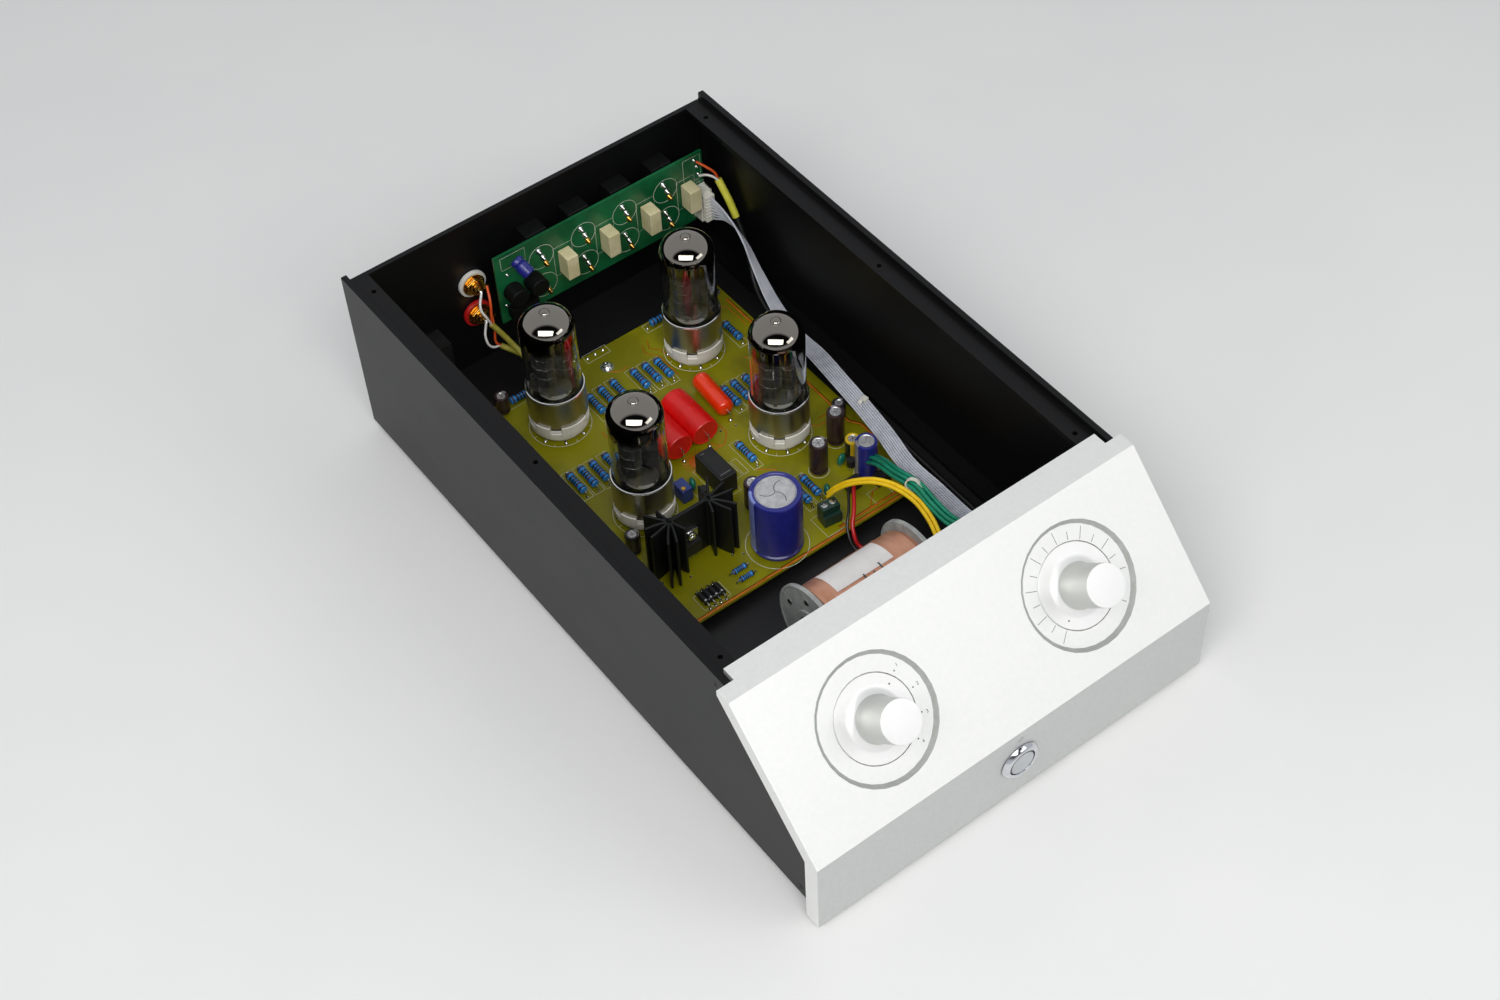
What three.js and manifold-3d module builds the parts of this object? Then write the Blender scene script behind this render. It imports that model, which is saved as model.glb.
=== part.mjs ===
// Valve headphone and line amplifier, open for service: black side panels and a silver front panel round a
// main board with four octal tubes, a vertical input board, an R-core transformer and their leads.
// Millimetres, +Z up, the front panel faces -Y. The frame's origin is at the middle of the footprint.
import * as THREE from "three";
import { mergeVertices } from "three/addons/utils/BufferGeometryUtils.js";
import Module from "manifold-3d";

const wasm = await Module();
wasm.setup();

// Driving dimensions. Inside the chassis group x is to the right seen from the front, y = 0 is the rear
// face, so depths from the rear are negative, and z = 0 is the lower edge of the side panels.
const gap = 0.3;
const chassisWidth = 240;
const chassisHeight = 112;
const wall = 4;
const lipThickness = 3.4;
const ledgeDepth = 4;
const ledgeThickness = 3.5;
const ledgeReach = 14.5;
const plateThickness = 3.7;
const rearPanelThickness = 3;
const footHeight = 5;
const footRadius = 12;
const footX = 95;
const footDepths = [30, 372];

const panelWidth = 249;
const panelTopRear = 334;
const panelNotchRear = 342;
const panelNotchWidth = 10;
const panelCrease = 351.2;
const panelNose = 414.7;
const panelNoseHeight = 48.6;
const panelDrop = 1.7;
const panelWall = 9.5;
const panelTopWall = 4;
const slopeBack = 342.5;

const dialX = 63;
const dialRecess = { topRadius: 32.7, floorRadius: 30.5, depth: 2 };
const skirtPocketRadius = 22.2;
const skirtPocketDepth = 6;
const skirtRadius = 21.8;
const skirtThickness = 3.6;
const knobBaseRadius = 11;
const knobTopRadius = 10;
const knobHeight = 24.75;
const shaftRadius = 3;
const bushingRadius = 4.4;

const buttonHeight = 25.4;
const bezelRadius = 11.5;
const bezelProud = 3;
const buttonRadius = 7.5;
const buttonTravel = 2.5;

const board = { left: -86, right: 89, rear: 46, front: 241, under: 10.3, thickness: 1.6 };
const boardTop = board.under + board.thickness;
const standoffInset = 5;
const standoffRadius = 3.5;
const tubePlaces = {
  rear_left: [-44.2, -79.8],
  rear_right: [48, -80.7],
  front_left: [-44.5, -162],
  front_right: [47.2, -162.6],
};
const octalPinCircle = 8.73;
const socketHeight = 10.5;
const socketRadius = 16;
const tubeShellRadius = 16.75;
const tubeShellTop = 33.5;
const glassRadius = 15.4;
const glassWall = 1.2;
const tubeHeight = 88;

const inputBoard = { left: -37, right: 105.4, face: 16, thickness: 1.6, low: 36, high: 86 };
const inputPitch = 28.6;
const inputCount = 4;
const firstJackX = -7;
const firstRelayX = 7.2;
const jackHeights = [48.5, 70];
const rcaRadius = 4.15;
const rcaReach = 9.5;
const outputJackX = -46.3;
const outputJacks = { left: 65, right: 42 };
const inletPlace = { x: -85, z: 34 };

const coil = { half: 34, radius: 24, flangeRadius: 28, bore: 10.2, rear: 297, pitch: 58, height: 33.5 };
const coreRadius = 9.7;
const coreHalfLength = 54;
const coreCorner = 18;

const reservoir = { x: -2, y: -224, radius: 14.2, height: 42 };
const heatsink = { x: -42.3, y: -202, half: 11.7, height: 37, finLength: 15, finWidth: 1.6 };

// Materials
function finish(color, roughness, metalness, more = {}) {
  return new THREE.MeshStandardMaterial({ color, roughness, metalness, ...more });
}
const blackAnodised = finish(0x17181a, 0.5, 0.6);
const satinAluminium = finish(0xdcdcd8, 0.38, 0.85);
const turnedAluminium = finish(0xe4e4e2, 0.28, 0.9);
const steel = finish(0x9a9a98, 0.35, 0.9);
const blackSteel = finish(0x1c1d1e, 0.55, 0.4);
const copperFoil = finish(0xc98a68, 0.35, 0.8);
const boardLaminate = finish(0x655f08, 0.4, 0);
const greenLaminate = finish(0x0c5a34, 0.4, 0);
const whiteCeramic = finish(0xe6e3da, 0.45, 0);
const tubeShellMetal = finish(0xa9a6a0, 0.2, 1);
const tubeGlass = finish(0xd8dcdc, 0.05, 0, { transparent: true, opacity: 0.3 });
const electrodeGrey = finish(0x5a5754, 0.5, 0.6);
const relayCream = finish(0xd8cfa8, 0.5, 0);
const blackPlastic = finish(0x151515, 0.5, 0);
const goldPlate = finish(0xc9a04a, 0.25, 1);
const blueSleeve = finish(0x2c3596, 0.35, 0);
const blackHeatsink = finish(0x1a1b1b, 0.5, 0.5);
const rubber = finish(0x141414, 0.85, 0);
const greyRibbon = finish(0xc6c8cc, 0.5, 0);
const greenLead = finish(0x0f7a58, 0.45, 0);
const yellowLead = finish(0xd8b010, 0.45, 0);
const redLead = finish(0xb3161a, 0.45, 0);
const oliveSleeve = finish(0x9a9430, 0.5, 0);
const blackLead = finish(0x101010, 0.5, 0);

// Solids. A closed geometry becomes a manifold for joining and cutting, and turns back at the end.
function solid(geometry) {
  const bare = geometry.clone();
  for (const name of Object.keys(bare.attributes)) {
    if (name !== "position") bare.deleteAttribute(name);
  }
  const merged = mergeVertices(bare, 1e-4);
  return new wasm.Manifold(
    new wasm.Mesh({
      numProp: 3,
      vertProperties: new Float32Array(merged.attributes.position.array),
      triVerts: new Uint32Array(merged.index.array),
    }),
  );
}

function geometryOf(manifold) {
  const made = manifold.getMesh();
  const geometry = new THREE.BufferGeometry();
  geometry.setAttribute("position", new THREE.BufferAttribute(made.vertProperties.slice(), 3));
  geometry.setIndex(new THREE.BufferAttribute(made.triVerts.slice(), 1));
  geometry.computeVertexNormals();
  return geometry;
}

function joined(geometries) {
  return geometries.map(solid).reduce((whole, next) => whole.add(next));
}

function block(x, y, z) {
  return new THREE.BoxGeometry(x[1] - x[0], y[1] - y[0], z[1] - z[0]).translate(
    (x[0] + x[1]) / 2,
    (y[0] + y[1]) / 2,
    (z[0] + z[1]) / 2,
  );
}

// A round piece on the z axis from points [radius, height], which start and end on the axis, rising outside.
function turned(points, segments = 24) {
  const profile = points.map(([r, h]) => new THREE.Vector2(r, h));
  return new THREE.LatheGeometry(profile, segments).rotateX(Math.PI / 2);
}

function rod(radius, low, high, segments = 16) {
  return turned([[0, low], [radius, low], [radius, high], [0, high]], segments);
}

// A ring or sleeve on the z axis: a closed profile away from the axis.
function sleeve(inner, outer, low, high, segments = 24) {
  return turned([[inner, low], [outer, low], [outer, high], [inner, high], [inner, low]], segments);
}

function outline(points) {
  return new THREE.Shape(points.map(([a, b]) => new THREE.Vector2(a, b)));
}

const alongX = new THREE.Matrix4().makeBasis(
  new THREE.Vector3(0, 1, 0),
  new THREE.Vector3(0, 0, 1),
  new THREE.Vector3(1, 0, 0),
);
const alongMinusY = new THREE.Matrix4().makeBasis(
  new THREE.Vector3(1, 0, 0),
  new THREE.Vector3(0, 0, 1),
  new THREE.Vector3(0, -1, 0),
);

// An outline of [y, z] points, run along x between two places.
function runAlongX(points, low, high) {
  const made = new THREE.ExtrudeGeometry(outline(points), { depth: high - low, bevelEnabled: false });
  return made.translate(0, 0, low).applyMatrix4(alongX);
}

// An outline of [x, z] points, run from the rear face towards the front.
function runForward(points, from, to) {
  const made = new THREE.ExtrudeGeometry(outline(points), { depth: to - from, bevelEnabled: false });
  return made.translate(0, 0, from).applyMatrix4(alongMinusY);
}

function roundSection(radius, sides) {
  const points = [];
  for (let i = 0; i < sides; i += 1) {
    const turn = (2 * Math.PI * i) / sides;
    points.push([radius * Math.cos(turn), radius * Math.sin(turn)]);
  }
  return outline(points);
}

// A lead: a section carried along a smooth route.
function lead(route, section, steps) {
  const path = new THREE.CatmullRomCurve3(route.map(([x, y, z]) => new THREE.Vector3(x, y, z)));
  return new THREE.ExtrudeGeometry(section, { steps, bevelEnabled: false, extrudePath: path });
}

function piece(name, shape, material) {
  const mesh = new THREE.Mesh(shape.isBufferGeometry ? shape : geometryOf(shape), material);
  mesh.name = name;
  return mesh;
}

const amplifier = new THREE.Group();
const chassis = new THREE.Group();
amplifier.add(chassis);

// The placement that stands a piece's z axis out of the slanted front face, at a dial's centre.
const slopeMiddleDepth = (panelCrease + panelNose) / 2;
const slopeMiddleHeight = (chassisHeight + panelNoseHeight) / 2;
const slopeTilt = Math.PI / 4;
function onSlope(x) {
  return new THREE.Matrix4()
    .makeTranslation(x, -slopeMiddleDepth, slopeMiddleHeight)
    .multiply(new THREE.Matrix4().makeRotationX(slopeTilt));
}

// Front panel: one bent profile with two dial recesses, a button hole and notched upper ends.
const panelInner = panelNose - panelWall;
const ledgeTop = chassisHeight - panelTopWall;
const innerCornerHeight = ledgeTop - (panelInner - slopeBack);

function frontPanel() {
  const profile = [
    [-panelTopRear, chassisHeight],
    [-panelCrease, chassisHeight],
    [-panelNose, panelNoseHeight],
    [-panelNose, -panelDrop],
    [-panelInner, -panelDrop],
    [-panelInner, innerCornerHeight],
    [-slopeBack, ledgeTop],
    [-panelTopRear, ledgeTop],
  ];
  const half = panelWidth / 2;
  let made = solid(runAlongX(profile, -half, half));
  for (const side of [-1, 1]) {
    const ends = [side * (half - panelNotchWidth), side * (half + 1)].sort((a, b) => a - b);
    const notch = block(ends, [-panelNotchRear, -panelTopRear + 1], [ledgeTop - 1, chassisHeight + 1]);
    made = made.subtract(solid(notch));
    const { topRadius, floorRadius, depth } = dialRecess;
    const cutter = turned(
      [
        [0, -20],
        [bushingRadius + gap, -20],
        [bushingRadius + gap, -skirtPocketDepth],
        [skirtPocketRadius, -skirtPocketDepth],
        [skirtPocketRadius, -depth],
        [floorRadius, -depth],
        [topRadius, 0],
        [topRadius, 5],
        [0, 5],
      ],
      32,
    );
    made = made.subtract(solid(cutter.applyMatrix4(onSlope(side * dialX))));
  }
  const buttonHole = rod(switchBarrelRadius + gap, -20, 20, 24).applyMatrix4(onFront());
  return made.subtract(solid(buttonHole));
}

// The placement that stands a piece's z axis out of the vertical front face, at the power button.
function onFront() {
  return new THREE.Matrix4()
    .makeTranslation(0, -panelNose, buttonHeight)
    .multiply(new THREE.Matrix4().makeRotationX(Math.PI / 2));
}
const switchBarrelRadius = 9.4;

// Side panels: an extruded wall with a lip and screw ledges along both long edges, its front end cut to the
// front panel's back.
const lidScrewDepths = [16.5, 171.5, 325.3];
const lidScrewX = 110;
const lidScrewRadius = 1.4;

function sidePanel(side) {
  const outer = chassisWidth / 2;
  const lip = outer - lipThickness;
  const inner = outer - wall;
  const reach = outer - ledgeReach;
  const top = chassisHeight;
  const profile = [
    [outer, 0],
    [outer, top],
    [lip, top],
    [lip, top - ledgeDepth],
    [reach, top - ledgeDepth],
    [reach, top - ledgeDepth - ledgeThickness],
    [inner, top - ledgeDepth - ledgeThickness],
    [inner, ledgeDepth + ledgeThickness],
    [reach, ledgeDepth + ledgeThickness],
    [reach, ledgeDepth],
    [lip, ledgeDepth],
    [lip, 0],
  ];
  const mirrored = side < 0 ? profile.map(([x, z]) => [-x, z]).reverse() : profile;
  const front = panelInner - gap;
  const step = slopeBack + gap;
  const sideView = [
    [0, 0],
    [0, top],
    [-(panelNotchRear - gap), top],
    [-(panelNotchRear - gap), ledgeTop - gap],
    [-step, ledgeTop - gap],
    [-front, innerCornerHeight - gap],
    [-front, 0],
  ].reverse();
  let made = solid(runForward(mirrored, 0, panelNose));
  made = made.intersect(solid(runAlongX(sideView, -outer - 1, outer + 1)));
  const rearPocket = [side * (reach - 1), side * inner].sort((a, b) => a - b);
  const rearRoom = block(rearPocket, [-(rearPanelThickness + gap), 1], [ledgeDepth - 1, top - gap]);
  made = made.subtract(solid(rearRoom));
  for (const depth of lidScrewDepths) {
    const hole = rod(lidScrewRadius, ledgeTop - 6, ledgeTop + 1, 8);
    made = made.subtract(solid(hole.translate(side * lidScrewX, -depth, 0)));
  }
  return made;
}

// Bottom plate with pressed-in standoffs for the main board.
function standoffPlaces() {
  const places = [];
  for (const x of [board.left + standoffInset, board.right - standoffInset]) {
    for (const y of [-(board.rear + standoffInset), -(board.front - standoffInset)]) places.push([x, y]);
  }
  places.push([0.8, -60.9]);
  return places;
}

function bottomPlate() {
  const half = chassisWidth / 2 - lipThickness - gap;
  const plate = block([-half, half], [-(panelInner - gap), -gap], [0, plateThickness]);
  const posts = standoffPlaces().map(([x, y]) =>
    rod(standoffRadius, plateThickness - 0.5, board.under - gap, 8).translate(x, y, 0),
  );
  return joined([plate, ...posts]);
}

// The placement that stands a piece's z axis out of the rear face.
function onRear(x, z) {
  return new THREE.Matrix4()
    .makeTranslation(x, 0, z)
    .multiply(new THREE.Matrix4().makeRotationX(-Math.PI / 2));
}

const inletBody = { halfWidth: 13.5, halfHeight: 9.8, depth: 17 };
const jackHoleRadius = 4.9;

function rearPanel() {
  const half = chassisWidth / 2 - wall - gap;
  const high = chassisHeight - ledgeDepth - gap;
  let made = solid(block([-half, half], [-rearPanelThickness, 0], [plateThickness + gap, high]));
  const holes = [];
  for (let i = 0; i < inputCount; i += 1) {
    for (const z of jackHeights) holes.push([firstJackX + inputPitch * i, z]);
  }
  for (const z of Object.values(outputJacks)) holes.push([outputJackX, z]);
  for (const [x, z] of holes) {
    made = made.subtract(solid(rod(jackHoleRadius, -9, 1, 10).applyMatrix4(onRear(x, z))));
  }
  const { halfWidth, halfHeight } = inletBody;
  const window = block(
    [inletPlace.x - halfWidth - gap, inletPlace.x + halfWidth + gap],
    [-9, 1],
    [inletPlace.z - halfHeight - gap, inletPlace.z + halfHeight + gap],
  );
  return made.subtract(solid(window));
}

chassis.add(
  piece("left_side_panel", sidePanel(-1), blackAnodised),
  piece("right_side_panel", sidePanel(1), blackAnodised),
  piece("rear_panel", rearPanel(), blackAnodised),
  piece("bottom_plate", bottomPlate(), blackSteel),
  piece("front_panel", frontPanel(), satinAluminium),
);

// Rubber feet
for (const [end, depth] of [["rear", footDepths[0]], ["front", footDepths[1]]]) {
  for (const [side, x] of [["left", -footX], ["right", footX]]) {
    const foot = rod(footRadius, -footHeight, -gap, 20).translate(x, -depth, 0);
    chassis.add(piece(`foot_${end}_${side}`, foot, rubber));
  }
}

// Dials: a knob with a wide flat skirt on a shaft, and the control behind the panel that the shaft turns in.
const nutRadius = 7;
const boreDepth = 14;

function knob() {
  const skirtTop = -dialRecess.depth;
  const skirtUnder = skirtTop - skirtThickness;
  const hollow = skirtUnder + 2.2;
  const fillet = 6;
  const edge = [];
  for (let i = 0; i <= 3; i += 1) {
    const turn = (i / 3) * (Math.PI / 2);
    edge.push([
      knobBaseRadius + fillet * (1 - Math.sin(turn)),
      skirtTop + fillet * (1 - Math.cos(turn)),
    ]);
  }
  return turned(
    [
      [0, boreDepth],
      [shaftRadius + gap, boreDepth],
      [shaftRadius + gap, hollow],
      [nutRadius + 2, hollow],
      [nutRadius + 2, skirtUnder],
      [skirtRadius, skirtUnder],
      [skirtRadius, skirtTop],
      ...edge,
      [knobTopRadius, knobHeight - 1],
      [knobTopRadius - 1, knobHeight],
      [0, knobHeight],
    ],
    24,
  );
}

function control(bodyRadius, bodyDepth) {
  const behind = -(panelWall - 0.5 + gap);
  const nose = -(skirtPocketDepth - gap);
  const nut = nose + 1.9;
  const shaftHole = -13;
  return turned(
    [
      [0, behind - bodyDepth],
      [bodyRadius, behind - bodyDepth],
      [bodyRadius, behind],
      [bushingRadius, behind],
      [bushingRadius, nose],
      [nutRadius, nose],
      [nutRadius, nut],
      [shaftRadius + gap, nut],
      [shaftRadius + gap, shaftHole],
      [0, shaftHole],
    ],
    16,
  );
}

const dials = [
  { name: "volume", x: dialX, body: "volume_potentiometer", bodyRadius: 12, bodyDepth: 21 },
  { name: "selector", x: -dialX, body: "selector_switch", bodyRadius: 13, bodyDepth: 18 },
];
for (const { name, x, body, bodyRadius, bodyDepth } of dials) {
  const dial = new THREE.Group();
  dial.applyMatrix4(onSlope(x));
  dial.add(
    piece(`${name}_knob`, knob(), turnedAluminium),
    piece(`${name}_shaft`, rod(shaftRadius, -13 + gap, boreDepth - gap, 12), steel),
    piece(body, control(bodyRadius, bodyDepth), steel),
  );
  chassis.add(dial);
}

// Power switch: a bevelled metal bezel and barrel through the panel, and the button that travels in it.
function switchHousing() {
  const floor = -9.7;
  const back = -26.5;
  return turned(
    [
      [0, back],
      [8.6, back],
      [8.6, -14],
      [switchBarrelRadius, -14],
      [switchBarrelRadius, gap],
      [bezelRadius, gap],
      [bezelRadius - 1.5, bezelProud],
      [buttonRadius + gap + 0.1, bezelProud],
      [buttonRadius + gap + 0.1, floor],
      [0, floor],
    ],
    24,
  );
}

function powerButton() {
  const low = -9.7 + buttonTravel + gap + 0.4;
  return turned(
    [[0, low], [buttonRadius, low], [buttonRadius, 2.2], [buttonRadius - 0.6, 2.8], [0, 2.8]],
    24,
  );
}

const frontControls = new THREE.Group();
frontControls.applyMatrix4(onFront());
frontControls.add(
  piece("power_switch_housing", switchHousing(), turnedAluminium),
  piece("power_button", powerButton(), turnedAluminium),
);
chassis.add(frontControls);

// Transformer: two foil-wrapped coils on flanged bobbins, threaded by one round-section core, on a bracket.
const coilMiddle = -(coil.rear + coil.pitch / 2);

function coilBody() {
  const { half, radius, flangeRadius, bore } = coil;
  const flange = 2;
  return turned(
    [
      [bore, -half],
      [flangeRadius, -half],
      [flangeRadius, -half + flange],
      [radius, -half + flange],
      [radius, half - flange],
      [flangeRadius, half - flange],
      [flangeRadius, half],
      [bore, half],
      [bore, -half],
    ],
    24,
  ).rotateY(Math.PI / 2);
}

// The core's loop, closed but for a fine butt joint inside the rear coil.
function coreLoop() {
  const legY = coil.pitch / 2;
  const x = coreHalfLength;
  const point = (a, b) => new THREE.Vector3(a, b, coil.height);
  const path = new THREE.CurvePath();
  const line = (a, b) => path.add(new THREE.LineCurve3(a, b));
  const bend = (a, corner, b) => path.add(new THREE.QuadraticBezierCurve3(a, corner, b));
  line(point(0.15, legY), point(x - coreCorner, legY));
  bend(point(x - coreCorner, legY), point(x, legY), point(x, legY - coreCorner));
  line(point(x, legY - coreCorner), point(x, coreCorner - legY));
  bend(point(x, coreCorner - legY), point(x, -legY), point(x - coreCorner, -legY));
  line(point(x - coreCorner, -legY), point(coreCorner - x, -legY));
  bend(point(coreCorner - x, -legY), point(-x, -legY), point(-x, coreCorner - legY));
  line(point(-x, coreCorner - legY), point(-x, legY - coreCorner));
  bend(point(-x, legY - coreCorner), point(-x, legY), point(coreCorner - x, legY));
  line(point(coreCorner - x, legY), point(-0.15, legY));
  const section = roundSection(coreRadius, 10);
  return new THREE.ExtrudeGeometry(section, { steps: 36, bevelEnabled: false, extrudePath: path });
}

function bracket() {
  const low = plateThickness + gap;
  const sheet = 1.2;
  const saddle = coil.height - coreRadius - gap;
  const pieces = [block([-66, 66], [-15, 15], [low, low + sheet])];
  for (const x of [-coreHalfLength, coreHalfLength]) {
    const ends = [x - 6, x + 6];
    pieces.push(block(ends, [-15, -12], [low + sheet - 0.2, saddle]));
    pieces.push(block(ends, [12, 15], [low + sheet - 0.2, saddle]));
    pieces.push(block(ends, [-15, 15], [saddle - sheet, saddle]));
  }
  return joined(pieces);
}

const transformer = new THREE.Group();
transformer.position.set(0, coilMiddle, 0);
transformer.add(
  piece("transformer_coil_rear", coilBody().translate(0, coil.pitch / 2, coil.height), copperFoil),
  piece("transformer_coil_front", coilBody().translate(0, -coil.pitch / 2, coil.height), copperFoil),
  piece("transformer_core", coreLoop(), blackSteel),
  piece("transformer_bracket", bracket(), blackSteel),
);
chassis.add(transformer);

// Main board
const mainBoard = block(
  [board.left, board.right],
  [-board.front, -board.rear],
  [board.under, boardTop],
);
chassis.add(piece("main_board", mainBoard, boardLaminate));

// Octal tubes: a ceramic socket on the board, and in it a base with eight pins and a guide post, holding a
// glass envelope round the electrodes. Heights are above the board.
const pinRadius = 1.2;
const postRadius = 3.9;
const contactTurn = (i) => (2 * Math.PI * (i + 0.5)) / 8;
const pinPlace = (i) => [octalPinCircle * Math.cos(contactTurn(i)), octalPinCircle * Math.sin(contactTurn(i))];

function tubeSocket() {
  let made = solid(rod(socketRadius, gap, socketHeight, 20));
  for (let i = 0; i < 8; i += 1) {
    made = made.subtract(solid(rod(pinRadius + 0.5, -1, 20, 6).translate(...pinPlace(i), 0)));
  }
  return made.subtract(solid(rod(postRadius + 0.8, -1, 20, 10)));
}

const glassFoot = 29.5;
function tubeBase() {
  const under = socketHeight + gap;
  const cup = turned([
    [0, under],
    [tubeShellRadius - 1.2, under],
    [tubeShellRadius - 1.2, under + 1.5],
    [tubeShellRadius, under + 1.5],
    [tubeShellRadius, tubeShellTop],
    [glassRadius + gap, tubeShellTop],
    [glassRadius + gap, glassFoot - gap],
    [0, glassFoot - gap],
  ], 20);
  const pieces = [cup, rod(postRadius, 1, under + 0.5, 8)];
  for (let i = 0; i < 8; i += 1) pieces.push(rod(pinRadius, 1.5, under + 0.5, 5).translate(...pinPlace(i), 0));
  return joined(pieces);
}

function tubeEnvelope() {
  const shoulder = tubeHeight - glassRadius * 0.72;
  const domeRings = 4;
  const dome = (radius, rise) => {
    const points = [];
    for (let i = 0; i <= domeRings; i += 1) {
      const turn = (i / domeRings) * (Math.PI / 2);
      points.push([radius * Math.cos(turn), shoulder + rise * Math.sin(turn)]);
    }
    points[domeRings][0] = 0;
    return points;
  };
  const outside = dome(glassRadius, tubeHeight - shoulder);
  const inside = dome(glassRadius - glassWall, tubeHeight - shoulder - glassWall).reverse();
  return turned([...inside, [glassRadius - glassWall, glassFoot], [glassRadius, glassFoot], ...outside], 18);
}

function electrodes() {
  const foot = glassFoot + gap;
  const micaRadius = 12.6;
  const pieces = [
    rod(micaRadius, 36, 37, 12),
    rod(micaRadius, 66, 67, 12),
    block([-10, 10], [-5, 5], [36.5, 66.5]),
  ];
  for (const x of [-8, 8]) pieces.push(rod(0.9, foot, 36.5, 6).translate(x, 0, 0));
  return joined(pieces);
}

for (const [place, [x, y]] of Object.entries(tubePlaces)) {
  const tube = new THREE.Group();
  tube.position.set(x, y, boardTop);
  tube.add(
    piece(`tube_socket_${place}`, tubeSocket(), whiteCeramic),
    piece(`tube_base_${place}`, tubeBase(), tubeShellMetal),
    piece(`tube_glass_${place}`, tubeEnvelope(), tubeGlass),
    piece(`tube_electrodes_${place}`, electrodes(), electrodeGrey),
  );
  chassis.add(tube);
}

// Power components on the main board
const reservoirCan = turned([
  [0, gap],
  [reservoir.radius, gap],
  [reservoir.radius, reservoir.height - 1],
  [reservoir.radius - 1, reservoir.height],
  [0, reservoir.height],
]).translate(reservoir.x, reservoir.y, boardTop);
chassis.add(piece("reservoir_capacitor", reservoirCan, blueSleeve));

// A finned sink: a spine with a fan of fingers at both ends.
function finnedSink() {
  const { half, height, finLength, finWidth } = heatsink;
  const high = gap + height;
  const parts = [block([-half, half], [-1, 1], [gap, high])];
  for (const side of [-1, 1]) {
    for (const degrees of [-75, -45, -15, 20, 50]) {
      const finger = block([0, finLength], [-finWidth / 2, finWidth / 2], [gap, high]);
      finger.rotateZ(THREE.MathUtils.degToRad(side > 0 ? degrees : 180 - degrees));
      parts.push(finger.translate(side * half, 0, 0));
    }
  }
  return joined(parts);
}
const sink = piece("heatsink", finnedSink(), blackHeatsink);
sink.position.set(heatsink.x, heatsink.y, boardTop);
chassis.add(sink);

const relayBox = block([-7, 4], [-181, -157], [boardTop + gap, boardTop + 15]);
chassis.add(piece("mute_relay", relayBox, blackPlastic));

// Input board, its selector relays and the paired jacks that pass through the rear panel
const inputFace = -inputBoard.face;
const inputBack = inputFace + inputBoard.thickness;
const inputPanel = block(
  [inputBoard.left, inputBoard.right],
  [inputFace, inputBack],
  [inputBoard.low, inputBoard.high],
);
chassis.add(piece("input_board", inputPanel, greenLaminate));

const relay = { width: 7.5, depth: 10, low: 52.5, high: 68.5 };
const jackBlock = { halfWidth: 7, low: 38, high: 87.5 };

function pairedJack(x) {
  const room = [inputBack + gap, -(rearPanelThickness + gap)];
  const housing = block([-jackBlock.halfWidth, jackBlock.halfWidth], room, [jackBlock.low, jackBlock.high]);
  let made = solid(housing);
  for (const z of jackHeights) {
    made = made.add(solid(rod(rcaRadius, room[1] - 0.5, rcaReach, 12).applyMatrix4(onRear(0, z))));
    made = made.subtract(solid(rod(1.7, 0, rcaReach + 1, 6).applyMatrix4(onRear(0, z))));
  }
  return made.translate([x, 0, 0]);
}

for (let i = 0; i < inputCount; i += 1) {
  const relayX = firstRelayX + inputPitch * i;
  const can = block(
    [relayX - relay.width / 2, relayX + relay.width / 2],
    [inputFace - gap - relay.depth, inputFace - gap],
    [relay.low, relay.high],
  );
  chassis.add(piece(`input_relay_${i + 1}`, can, relayCream));
  chassis.add(piece(`input_jack_pair_${i + 1}`, pairedJack(firstJackX + inputPitch * i), goldPlate));
}

// Output jacks, bolted through the rear panel with a washer and nut behind it
function outputJack() {
  const back = -(rearPanelThickness + gap);
  const flange = 2;
  const made = joined([
    turned(
      [
        [0, back - 9],
        [2.2, back - 9],
        [2.2, back - 6],
        [rcaRadius, back - 6],
        [rcaRadius, back - 4],
        [5.6, back - 4],
        [5.6, back - 1.5],
        [7.6, back - 1.5],
        [7.6, back],
        [rcaRadius, back],
        [rcaRadius, gap],
        [6.8, gap],
        [6.8, flange],
        [rcaRadius, flange],
        [rcaRadius, rcaReach],
        [0, rcaReach],
      ],
      12,
    ),
  ]);
  return made.subtract(solid(rod(1.7, 0, rcaReach + 1, 8)));
}
for (const [side, z] of Object.entries(outputJacks)) {
  const jack = new THREE.Group();
  jack.applyMatrix4(onRear(outputJackX, z));
  jack.add(piece(`output_jack_${side}`, outputJack(), goldPlate));
  chassis.add(jack);
}

// Mains inlet: a flanged socket with three pins in its recess
function mainsInlet() {
  const { halfWidth, halfHeight, depth } = inletBody;
  const front = 3.3;
  const shell = joined([
    block([-25, 25], [gap, front], [-11.3, 11.3]),
    block([-halfWidth, halfWidth], [-depth, gap + 0.5], [-halfHeight, halfHeight]),
  ]);
  let made = shell.subtract(solid(block([-12, 12], [-depth + 2, front + 1], [-8.2, 8.2])));
  for (const [x, z] of [[-7, -2.5], [0, 2.5], [7, -2.5]]) {
    made = made.add(solid(block([x - 1, x + 1], [-depth + 1, -1], [z - 2, z + 2])));
  }
  for (const x of [-20, 20]) {
    made = made.subtract(solid(rod(1.7, -1, 5, 8).applyMatrix4(onRear(x, 0))));
  }
  return made.translate([inletPlace.x, 0, inletPlace.z]);
}
chassis.add(piece("mains_inlet", mainsInlet(), blackPlastic));

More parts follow.
